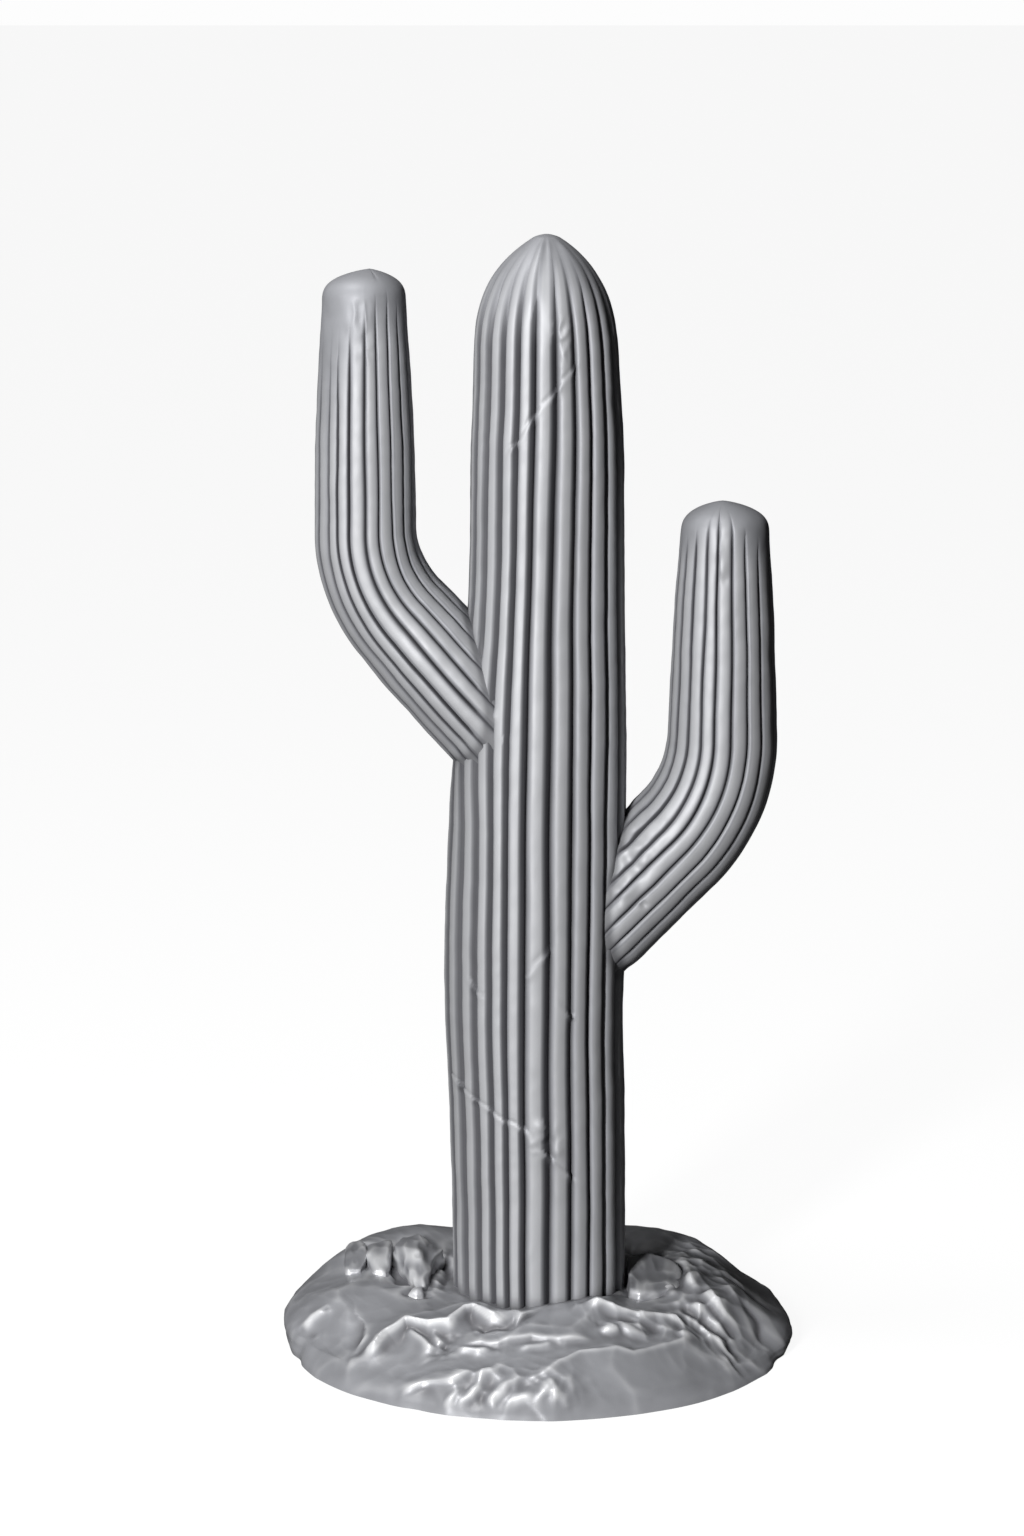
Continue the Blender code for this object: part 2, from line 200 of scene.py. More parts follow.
# The share of the painted shade on the trunk's left side, which faces the light, and from which angle and over
# how many degrees it grows to the whole
SHADE_ON_LEFT = (0.85, -35, 45)

# Base: the rim's height and distance out, at the front and at the sides, from the floor up to the lip
RIM = (
    ((0.0000, 0.2755), (0.0000, 0.2740)),
    ((0.0055, 0.2715), (0.0070, 0.2765)),
    ((0.0105, 0.2660), (0.0130, 0.2770)),
    ((0.0155, 0.2590), (0.0190, 0.2785)),
    ((0.0200, 0.2515), (0.0250, 0.2780)),
)
# The mound: distance out and height, at the front and behind
FRONT_RISE = (
    (0.08, 0.0610), (0.10, 0.0600), (0.15, 0.0545), (0.18, 0.0470), (0.22, 0.0350), (0.2515, 0.0200),
)
BACK_RISE = (
    (0.08, 0.0620), (0.10, 0.0630), (0.13, 0.0670), (0.17, 0.0690), (0.215, 0.0640),
    (0.243, 0.0540), (0.262, 0.0430), (0.272, 0.0345), (0.278, 0.0250),
)
# How much lower the lip lies on the right, from how far out, and how wide the mound bends down to the lip
LIP_DROP = 0.011
DROP_STARTS = 0.190
LIP_BLEND = 0.045
# Degrees from the front between which the front's form goes over into that of the sides and the back
FRONT_ENDS = 52
SIDES_START = 84
# How near to the lip the rocks flatten, and the share of them that is left there
ROCKS_END = 0.030
ROCKS_LEFT_AT_LIP = 0.25
# The height and the distance out at which the trunk and the rock meet, and the innermost ring and the middle,
# which the trunk hides
TRUNK_MEETS_ROCK = 0.060
ROCK_MEETS_TRUNK = 0.093
HUB = 0.078
HUB_HEIGHT = 0.07
# The blank that the base is carved from: a plate with a step for each part of the rim, and rings above them
SPOKES = 720
TOP_RINGS = 122
RIM_STEP = 0.01
BLANK_TOP = 0.2

# Broad swellings and dips of the rock: middle x and y, half length, half width, turn in degrees, rise,
# squareness
SWELLS = (
    (-0.160, 0.128, 0.090, 0.040, 38, 0.016, 1.5),
    (-0.192, 0.060, 0.036, 0.030, -60, 0.006, 1.5),
    (-0.110, 0.205, 0.040, 0.045, 0, -0.007, 1.5),
    (0.240, 0.060, 0.090, 0.045, -80, -0.006, 1.5),
    (0.120, 0.150, 0.045, 0.032, -30, 0.008, 1.5),
    (0.190, 0.120, 0.050, 0.030, -60, 0.008, 1.5),
    (0.010, 0.190, 0.070, 0.034, 0, 0.006, 1.5),
    (0.045, -0.090, 0.050, 0.030, 15, 0.009, 1.2),
    (-0.034, -0.094, 0.022, 0.016, 0, -0.005, 1.2),
)

# Ledges and ridges of the rock: a line of points, rise, widths behind and in front of it, fade at the ends
LEDGES = (
    (((-0.192, -0.142), (-0.172, -0.148), (-0.161, -0.134), (-0.141, -0.118), (-0.116, -0.130),
      (-0.095, -0.132), (-0.079, -0.111), (-0.068, -0.107), (-0.045, -0.130), (-0.028, -0.142)),
     0.015, 0.030, 0.010, 0.12),
    (((-0.143, -0.122), (-0.128, -0.146), (-0.110, -0.178)), 0.007, 0.008, 0.008, 0.25),
    (((-0.116, -0.132), (-0.108, -0.150), (-0.098, -0.166)), 0.006, 0.007, 0.007, 0.25),
    (((-0.094, -0.167), (-0.062, -0.163), (-0.042, -0.170), (-0.009, -0.162), (0.022, -0.168),
      (0.040, -0.163), (0.064, -0.160)), 0.0045, 0.020, 0.0045, 0.20),
    (((-0.026, -0.182), (0.004, -0.176), (0.024, -0.170)), 0.003, 0.006, 0.004, 0.30),
    (((-0.092, -0.176), (-0.065, -0.181), (-0.046, -0.176)), 0.005, 0.009, 0.007, 0.30),
    (((-0.150, -0.228), (-0.138, -0.223), (-0.120, -0.219), (-0.092, -0.222), (-0.062, -0.217)),
     0.0045, 0.008, 0.0045, 0.25),
    (((-0.019, -0.246), (0.002, -0.228), (0.023, -0.208), (0.043, -0.195), (0.083, -0.183), (0.102, -0.184),
      (0.119, -0.173), (0.156, -0.145), (0.184, -0.122)), 0.007, 0.009, 0.034, 0.15),
    (((0.006, -0.226), (0.015, -0.244), (0.020, -0.262)), 0.005, 0.016, 0.006, 0.30),
    (((0.045, -0.091), (0.061, -0.099), (0.081, -0.104), (0.107, -0.110), (0.124, -0.104), (0.141, -0.106),
      (0.167, -0.110)), 0.010, 0.028, 0.010, 0.20),
    (((0.060, -0.134), (0.092, -0.128), (0.126, -0.128)), 0.005, 0.012, 0.008, 0.30),
    (((0.154, 0.060), (0.162, 0.020), (0.164, -0.016), (0.174, -0.050), (0.192, -0.070)),
     0.006, 0.018, 0.012, 0.35),
    (((-0.255, -0.070), (-0.244, -0.063), (-0.230, -0.062)), 0.003, 0.005, 0.004, 0.30),
)
CREST_ROUNDING = 0.0014
# Clefts, in the same form as the ledges
CLEFTS = (
    (((-0.199, 0.096), (-0.190, 0.050), (-0.186, 0.014)), -0.006, 0.005, 0.005, 0.25),
    (((-0.170, 0.078), (-0.155, 0.022), (-0.143, -0.030)), -0.013, 0.010, 0.009, 0.25),
    (((-0.108, 0.090), (-0.098, 0.040), (-0.102, -0.036)), -0.009, 0.008, 0.008, 0.25),
    (((-0.266, -0.062), (-0.240, -0.090)), -0.0020, 0.005, 0.005, 0.30),
    (((0.149, -0.066), (0.172, -0.087), (0.200, -0.107), (0.208, -0.130)), -0.006, 0.006, 0.006, 0.20),
    (((0.170, -0.058), (0.192, -0.080), (0.220, -0.105)), -0.005, 0.006, 0.006, 0.25),
    (((0.196, 0.019), (0.240, -0.011), (0.262, -0.016)), -0.005, 0.006, 0.006, 0.25),
    (((0.215, -0.040), (0.236, -0.060), (0.250, -0.088)), -0.004, 0.006, 0.007, 0.30),
    (((0.092, 0.120), (0.120, 0.089), (0.146, 0.066)), -0.008, 0.012, 0.012, 0.30),
    (((-0.092, -0.148), (-0.104, -0.186)), -0.003, 0.010, 0.006, 0.30),
    (((-0.068, -0.144), (-0.049, -0.140), (-0.028, -0.139)), -0.005, 0.006, 0.007, 0.30),
)
# Single lumps, in the same form as the swells
LUMPS = (
    (0.077, -0.141, 0.010, 0.007, 10, 0.005, 1.3),
    (0.100, -0.140, 0.014, 0.008, -15, 0.006, 1.3),
    (0.160, -0.130, 0.010, 0.009, 30, 0.006, 1.3),
    (0.143, -0.040, 0.010, 0.008, 60, 0.005, 1.3),
    (0.170, -0.020, 0.013, 0.009, 75, 0.006, 1.3),
    (0.186, -0.058, 0.014, 0.009, 45, 0.006, 1.3),
    (-0.091, -0.248, 0.009, 0.006, 60, 0.0025, 1.3),
    (-0.068, -0.246, 0.012, 0.006, 50, 0.003, 1.3),
    (-0.040, -0.248, 0.016, 0.006, 50, 0.003, 1.3),
    (-0.016, -0.254, 0.016, 0.007, 35, 0.003, 1.3),
    (0.004, -0.244, 0.012, 0.006, 60, 0.003, 1.3),
)

# Stones that lie in the rock: name, corners of the top face, rise of its middle, passes of rounding, depth of
# the dents, seed
STONES = (
    (
        "left_block",
        (
            (-0.159, 0.061, 0.084), (-0.150, 0.086, 0.086), (-0.133, 0.095, 0.088), (-0.119, 0.077, 0.082),
            (-0.104, 0.069, 0.076), (-0.112, 0.044, 0.077), (-0.116, 0.013, 0.073), (-0.117, -0.021, 0.067),
            (-0.124, -0.033, 0.066), (-0.130, -0.028, 0.066),
        ),
        0.010, 7, 0.0022, 3.0,
    ),
    (
        "left_splinter",
        (
            (-0.141, -0.046, 0.062), (-0.135, -0.034, 0.066), (-0.125, -0.034, 0.067),
            (-0.122, -0.048, 0.063), (-0.131, -0.053, 0.061),
        ),
        0.004, 12, 0.0010, 9.0,
    ),
    (
        "outer_ridge",
        (
            (-0.210, 0.014, 0.070), (-0.215, 0.050, 0.077), (-0.212, 0.104, 0.073),
            (-0.190, 0.110, 0.078), (-0.188, 0.050, 0.081), (-0.192, 0.012, 0.071),
        ),
        0.004, 60, 0.0022, 15.0,
    ),
    (
        "inner_ridge",
        (
            (-0.181, 0.006, 0.071), (-0.189, 0.050, 0.080), (-0.192, 0.110, 0.078),
            (-0.160, 0.112, 0.080), (-0.162, 0.050, 0.079), (-0.165, 0.004, 0.070),
        ),
        0.004, 60, 0.0022, 21.0,
    ),
    (
        "right_boulder",
        (
            (0.098, 0.031, 0.080), (0.120, 0.044, 0.082), (0.138, 0.037, 0.080), (0.152, 0.028, 0.076),
            (0.158, 0.010, 0.073), (0.158, -0.018, 0.068), (0.150, -0.041, 0.067), (0.134, -0.048, 0.067),
            (0.110, -0.057, 0.067), (0.099, -0.049, 0.070),
        ),
        0.003, 40, 0.0014, 27.0,
    ),
)
STONE_GRAIN = 0.0014
STONE_THICKNESS = 0.030
STONE_FLARE = 1.10
# Stones with a moat round them, and the moat's depth and reach
STONES_IN_MOATS = ("left_block", "left_splinter", "right_boulder")
MOAT = (0.004, 0.006)

# Where the rock is crumpled (above nought) or smooth (below it), in the same form as the swells
CRUMPLED = (
    (-0.030, -0.240, 0.080, 0.030, 3, 0.70, 1.5),
    (0.185, 0.030, 0.110, 0.036, 100, 0.6, 1.5),
    (0.185, -0.095, 0.055, 0.040, -40, 0.7, 1.5),
    (0.115, -0.122, 0.060, 0.030, -5, 0.5, 1.5),
    (-0.120, 0.010, 0.050, 0.030, 80, 0.5, 1.5),
    (0.090, -0.220, 0.070, 0.030, 5, -0.25, 1.5),
    (0.118, -0.010, 0.040, 0.030, 84, -0.25, 1.5),
)
PLAIN_CRUMPLE = 0.22
# Scooped faces of the rock: spacing, depth of a bowl, steepest tilt, seed
COARSE_FACES = (0.060, 0.0032, 0.08, 7)
FINE_FACES = (0.017, 0.0018, 0.24, 8)
FACES_REACH = 0.33
# How far the rock's lines and its faces are bent: push, size of the waves, seed
LINES_BENT = (0.0040, 0.026, 41.0)
FACES_BENT = (0.014, 0.055, 53.0)
# The rough ring against the trunk: distance out, reach, rise
MORTAR = (0.094, 0.006, 0.002)
# Notches in the edge: angle from the front, half width in degrees, depth
NOTCHES = ((-72, 3.0, 0.004), (71, 3.5, 0.004), (-28, 2.5, 0.002))
# How far the relief is cut back all over, how far above or below its surroundings a point gets the full
# painted highlight or painted shade, and from how far out, and over what distance, the relief grows to the
# whole
RELIEF_CUT_BACK = 0.0020
RELIEF_MARKED = 0.0022
RELIEF_WHOLE = (0.092, 0.020)
# The share of the relief that is lost at the foot of the front, and up to what height
FOOT_LOSS = 0.6
FOOT_HEIGHT = 0.020

# Creases that cross the trunk's ribs: points of angle from the front and height
CREASES = (
    (
        (-33, 0.970), (-28, 0.984), (-20, 0.993), (-12, 1.014), (-4, 1.028),
        (2, 1.036), (9, 1.046), (15, 1.058), (27, 1.076),
    ),
    (
        (-84, 0.308), (-59, 0.297), (-45, 0.285), (-33, 0.278), (-22, 0.267),
        (-9, 0.260), (1, 0.238), (12, 0.221), (21, 0.208), (28, 0.192),
    ),
    ((-49, 0.422), (-42, 0.407), (-34, 0.398)),
    ((-9, 0.424), (-2, 0.440), (8, 0.459)),
    ((13, 0.399), (20, 0.387), (26, 0.378)),
)
# A crease is a soft fold below its line, which fills a share of the ribs' grooves, and a thin furrow above it
CREASE_WANDER = 0.0022
CREASE_ENDS = 0.10
FOLD_WIDTH = 0.0042
FOLD_FILLS = 0.7
FURROW_WIDTH = 0.0015
FURROW_PLACE = 0.0020
FURROW_DEPTH = 0.0011

# Ridges that run up the dome to its tip: angle, half width in degrees, height where it begins, rise
DOME_RIDGES = ((-12, 8, 1.110, 0.0030), (6, 6, 1.085, 0.0012), (40, 9, 1.120, 0.0016))

# Worked-over places on the trunk: angle, height, reach, depth of the crumple, rise. On an arm the height is
# the distance from its tip
KNOTS = (
    (5.0, 0.247, 0.018, 0.0014, 0.0004),
    (2.0, 0.264, 0.006, 0.0, 0.0022),
    (8.0, 0.247, 0.005, 0.0, -0.0034),
    (12.0, 0.235, 0.006, 0.0, 0.0024),
    (13.0, 1.105, 0.013, 0.0020, 0.0008),
    (13.0, 1.080, 0.008, 0.0016, 0.0004),
    (-35.0, 0.703, 0.005, 0.0, 0.0028),
    (-23.5, 0.679, 0.005, 0.0006, 0.0012),
    (-7.0, 0.121, 0.005, 0.0006, 0.0012),
)
WRINKLE_SIZE = 0.014
# The small unevenness of every cast surface: rise, size, shift of the seed
HANDMADE = ((0.0006, 0.036, 0), (0.0003, 0.013, 5))

# Edges that turn more than this, in degrees, stay sharp
SHARP_ANGLE = 50

# Paints: the grey of the whole figure, how much darker and paler its patches are, how much their roughness
# differs, and how much rougher the paint is where the painted shade lies
GREY_PAINT = (0.31, 0.315, 0.335, 1)
PATCH_TONES = (0.86, 1.12)
PATCH_SHEEN = 0.08
DULLNESS_IN_SHADE = 0.22
# Each paint's painted_shade is the dark colour painted into grooves, dents and joints as shade, and its
# painted_highlight the pale colour painted on crowns, crests and stones as highlight
FIGURE_SATIN = {
    "name": "figure_satin",
    "painted_shade": (0.055, 0.055, 0.062, 1),
    "painted_highlight": (0.44, 0.445, 0.46, 1),
    "roughness": 0.60,
    "metallic": 0.30,
    "gloss": 0.05,
}
ROCK_SATIN = {
    "name": "rock_satin",
    "painted_shade": (0.13, 0.13, 0.14, 1),
    "painted_highlight": (0.70, 0.705, 0.72, 1),
    "roughness": 0.38,
    "metallic": 0.20,
    "gloss": 0.45,
}

# Camera
CAMERA_PLACE = (-0.028, -4.5, 1.52)
CAMERA_AIM = (-0.028, 0, 0.633)
CAMERA_LENS = 100.76


def through(points, place):
    """The smooth curve through pairs of place and value, at an array of places."""
    places = np.array([point[0] for point in points], float)
    values = np.array([point[1] for point in points], float)
    before = np.maximum(np.arange(len(points)) - 1, 0)
    after = np.minimum(np.arange(len(points)) + 1, len(points) - 1)
    slopes = (values[after] - values[before]) / (places[after] - places[before])
    place = np.clip(place, places[0], places[-1])
    low = np.clip(np.searchsorted(places, place, side="right") - 1, 0, len(points) - 2)
    span = places[low + 1] - places[low]
    part = (place - places[low]) / span
    return (
        (2 * part**3 - 3 * part**2 + 1) * values[low]
        + (part**3 - 2 * part**2 + part) * span * slopes[low]
        + (3 * part**2 - 2 * part**3) * values[low + 1]
        + (part**3 - part**2) * span * slopes[low + 1]
    )


def ease(value):
    """A soft step, from 0 at nought to 1 at one."""
    value = np.clip(value, 0.0, 1.0)
    return value * value * (3 - 2 * value)


def hill(distance, reach):
    """A smooth hill, 1 at its middle and near nought at twice its reach."""
    return np.exp(-((distance / reach) ** 2))


def unevenness(points, size, seed):
    """Smooth random rise and fall, from about -1 to 1, with hills of one size."""
    return np.array([noise.noise(point) for point in (points / size + seed).tolist()])


def from_front(degrees):
    """An angle brought between -180 and 180 degrees from the front."""
    return (degrees + 180) % 360 - 180


def dome_factor(share, shape):
    """What is left of the girth at a share of the way up a dome."""
    steepness, roundness = shape
    return (1 - np.clip(share, 0.0, 1.0) ** steepness) ** roundness


def blunted(to_tip, reach):
    """Rounds off the very tip of a dome."""
    return np.sqrt(1 - (1 - np.clip(to_tip / reach, 0, 1)) ** 2)


def plain_bar(name, columns, stops):
    """A round bar up the Z axis, one metre in radius: a disc drawn up stop by stop, and closed to a point."""
    bpy.ops.object.select_all(action="DESELECT")
    foot = (0, 0, stops[0][0])
    bpy.ops.mesh.primitive_circle_add(vertices=columns, radius=1, fill_type="NGON", location=foot)
    bar = bpy.context.object
    bar.name = name
    bpy.ops.object.transform_apply(location=True, rotation=True, scale=True)
    bpy.ops.object.mode_set(mode="EDIT")
    bpy.ops.mesh.select_all(action="SELECT")
    rises = [high - low for (low, _), (high, _) in zip(stops, stops[1:])]
    point_rise = 0.001
    for rise in rises + [point_rise]:
        bpy.ops.mesh.extrude_region_move(TRANSFORM_OT_translate={"value": (0, 0, rise)})
    bpy.ops.mesh.merge(type="CENTER")
    bpy.ops.object.mode_set(mode="OBJECT")
    for (low, _), (high, rows) in zip(stops, stops[1:]):
        if rows > 1:
            cut_rows(bar, low, high, rows - 1)
    return bar


def cut_rows(bar, low, high, cuts):
    """Cuts a bar across, evenly, between two heights."""
    mesh = bar.data
    heights = read_points(mesh)[:, 2]
    ends = np.zeros(len(mesh.edges) * 2, int)
    mesh.edges.foreach_get("vertices", ends)
    pairs = np.sort(heights[ends.reshape(-1, 2)], axis=1)
    upright = (abs(pairs - (low, high)) < 1e-5).all(axis=1)
    bpy.ops.object.mode_set(mode="EDIT")
    bpy.ops.mesh.select_mode(type="EDGE")
    bpy.ops.mesh.select_all(action="DESELECT")
    bpy.ops.object.mode_set(mode="OBJECT")
    mesh.edges.foreach_set("select", upright)
    bpy.ops.object.mode_set(mode="EDIT")
    bpy.ops.mesh.subdivide(number_cuts=cuts)
    bpy.ops.mesh.select_mode(type="VERT")
    bpy.ops.object.mode_set(mode="OBJECT")


def read_points(mesh):
    """A mesh's points, one to a row."""
    points = np.zeros(len(mesh.vertices) * 3)
    mesh.vertices.foreach_get("co", points)
    return points.reshape(-1, 3)


def bar_grid(points, columns):
    """The column and row of each point of a plain bar, whether it is on the axis, and the rows' heights."""
    angle = np.degrees(np.arctan2(points[:, 0], -points[:, 1])) % 360
    column = np.round(angle / 360 * columns).astype(int) % columns
    on_axis = np.hypot(points[:, 0], points[:, 1]) < 0.5
    rows, row = np.unique(np.round(points[:, 2], 5), return_inverse=True)
    return column, row, on_axis, rows


def finish_casting(piece, points, masks, nodes, material):
    """Moves a piece's points into place, marks and paints it, and hands it over as the skin of its solids."""
    mesh = piece.data
    mesh.vertices.foreach_set("co", points.astype(np.float32).ravel())
    for title, values in masks.items():
        attribute = mesh.attributes.new(title, "FLOAT", "POINT")
        attribute.data.foreach_set("value", np.clip(values, 0, 1).astype(np.float32))
    mesh.update()
    bpy.ops.object.select_all(action="DESELECT")
    piece.select_set(True)
    bpy.context.view_layer.objects.active = piece
    bpy.ops.object.mode_set(mode="EDIT")
    bpy.ops.mesh.select_all(action="SELECT")
    bpy.ops.mesh.normals_make_consistent(inside=False)
    bpy.ops.object.mode_set(mode="OBJECT")
    bpy.ops.object.shade_smooth_by_angle(angle=math.radians(SHARP_ANGLE))
    mesh.materials.clear()
    mesh.materials.append(material)
    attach(piece, "root")
    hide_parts(*nodes)


def paint_shade(masks, gap, strength, reach):
    """Paints shade into a joint: the painted shade lies at least this dark at the gap, and thins out over its
    reach.
    """
    masks["hollow"] = np.maximum(masks["hollow"], strength * hill(gap, reach))


def shade_in(drop, deep, gain):
    """How full the painted shade lies where the skin has dropped by a share of the depth of its groove."""
    return np.clip(drop / (deep + 1e-6) * gain, 0, 1)


def rib_share(column):
    """The share of its rib's width at which a column lies, closer together towards the grooves."""
    even = column % POINTS_ON_A_RIB / POINTS_ON_A_RIB
    return even - POINTS_GATHERED * np.sin(2 * math.pi * even) / (2 * math.pi)


def across_rib(table, row, rib, share):
    """A value that is given for every groove, at a share of the way across a rib."""
    return table[row, rib] + (table[row, rib + 1] - table[row, rib]) * share


def from_crown(share, crown):
    """How far a share of a rib's width is from the crown: -1 at the left edge, 1 at the right edge."""
    return np.where(share < crown, (share - crown) / crown, (share - crown) / (1 - crown))


def rib_drop(share, width, rib, crown):
    """How far a rib's surface lies below its crown, at a share of its width."""
    across = np.linspace(0, 1, 101)
    slope = np.tan(np.radians(np.interp(across, [place for place, _ in rib], [turn for _, turn in rib])))
    fallen = np.concatenate([[0], np.cumsum((slope[1:] + slope[:-1]) / 2 * across[1])])
    return np.interp(abs(from_crown(share, crown)), across, fallen) * width / 2


def rib_masks(share, strength, painted_shade, crown):
    """Where shade is painted into the grooves, and where a highlight is painted along the crowns."""
    across = from_crown(share, crown)
    right, left = (ease((part * across - start) / PAINTED_SHADE_COMES_IN) for part, start in zip((1, -1), painted_shade))
    light, half_width, fade = CROWN_HIGHLIGHT
    crown_highlight = light * ease((half_width - abs(across)) / fade)
    return {"hollow": strength * np.maximum(right, left), "painted_highlight_mask": crown_highlight}


def strays(rows, grooves, handwork, seed=0.0):
    """A slow random wander for each groove, from row to row; the last groove repeats the first."""
    amount, spacing, own_seed = handwork
    apart = 3.7
    table = [
        [noise.noise((groove * apart, place / spacing, own_seed + seed)) for groove in range(grooves)]
        for place in rows
    ]
    return amount * np.hstack([table, np.array(table)[:, :1]])


def line_distance(x, y, points):
    """Distance from each place to a line, the share of the way along it, and on which side it lies."""
    points = np.array(points, float)
    spans = np.diff(points, axis=0)
    lengths = np.hypot(*spans.T)
    nearest, share, side = np.full(x.shape, np.inf), np.zeros(x.shape), np.zeros(x.shape)
    passed = 0.0
    for (start_x, start_y), (span_x, span_y), length in zip(points, spans, lengths):
        part = np.clip(((x - start_x) * span_x + (y - start_y) * span_y) / length**2, 0, 1)
        off_x, off_y = x - start_x - span_x * part, y - start_y - span_y * part
        off = np.hypot(off_x, off_y)
        closer = off < nearest
        nearest = np.where(closer, off, nearest)
        share = np.where(closer, (passed + length * part) / lengths.sum(), share)
        side = np.where(closer, np.sign(span_x * off_y - span_y * off_x), side)
        passed += length
    return nearest, share, side


def laid_flat(around, height):
    """Places on a skin that is unrolled, as points for the random patterns."""
    return np.stack([around, np.zeros(len(around)), height], 1)


def on_bar(turn, girth, length):
    """Places on the skin of a straight bar, as points for the random patterns."""
    return np.stack([np.sin(turn) * girth, np.cos(turn) * girth, length], 1)


def handmade(points, seed):
    """The small unevenness of a surface worked by hand, in metres."""
    return sum(rise * unevenness(points, size, seed + shift) for rise, size, shift in HANDMADE)


def worked_over(degrees, radius, height, knots):
    """The rise of small places that were worked by hand, each crumpled, raised or sunk."""
    around = np.radians(degrees) * radius
    flat = laid_flat(around, height)
    rise = np.zeros(len(around))
    for knot_angle, knot_height, reach, crumple, lift in knots:
        off = np.hypot(around - math.radians(knot_angle) * radius, height - knot_height)
        wrinkles = 1 - 2.5 * abs(unevenness(flat, WRINKLE_SIZE, knot_height * 10))
        rise = rise + (crumple * wrinkles + lift) * hill(off, reach)
    return rise


def trunk_grooves(height):
    """The groove angles at each height, one row per height, with the first repeated at the end."""
    start, end = GROOVES_SPREAD
    share = ease((height - start) / (end - start))[:, None]
    low, high = np.array(LOW_GROOVES, float), np.array(HIGH_GROOVES, float)
    front = low + (high - low) * share
    step = (front[:, :1] + 360 - front[:, -1:]) / BACK_RIBS
    back = front[:, -1:] + step * np.arange(1, BACK_RIBS)
    return np.hstack([front, back, front[:, :1] + 360])


def trunk_ribs_left(degrees, height):
    """How much of the trunk's grooves is left towards its tip; they end lower at both sides."""
    fade = DOME_FADE
    for side, (more, start, over) in zip((-1, 1), DOME_FADE_AT_SIDES):
        fade = fade + more * ease(side * (degrees - start) / over)
    return ease((HEIGHT - height) / fade)


def trunk_valleys(rows, row, rib, share, deep):
    """The shallow grooves that the ribs end in on the dome."""
    shallow = VALLEY_DEPTH + strays(rows, TRUNK_RIBS, VALLEY_HANDWORK)[row, rib]
    return shallow * deep * (0.5 + 0.5 * np.cos(2 * math.pi * share)) ** 2


def folded(drop, around, height):
    """The drop of the trunk's ribs with the creases pressed across them."""
    bent = height + CREASE_WANDER * unevenness(laid_flat(around, height), 0.018, 31.0)
    for crease in CREASES:
        line = [(math.radians(angle) * TRUNK_RADIUS, place) for angle, place in crease]
        off, along, side = line_distance(around, bent, line)
        ends = ease(along / CREASE_ENDS) * ease((1 - along) / CREASE_ENDS)
        fold = ends * np.where(side < 0, hill(off - 0.0010, FOLD_WIDTH), hill(off, FURROW_WIDTH))
        drop = drop * (1 - FOLD_FILLS * fold) - 0.0002 * fold
        drop = drop + FURROW_DEPTH * ends * hill(off - FURROW_PLACE, FURROW_WIDTH) * (side >= 0)
    return drop


def ridged(drop, degrees, height):
    """The drop on the dome with the small ridges that run up it."""
    for angle, half_width, lowest, rise in DOME_RIDGES:
        along = ease((height - lowest) / 0.040) * ease((HEIGHT - height) / 0.014)
        drop = drop - rise * hill(degrees - angle, half_width) * along
    return drop


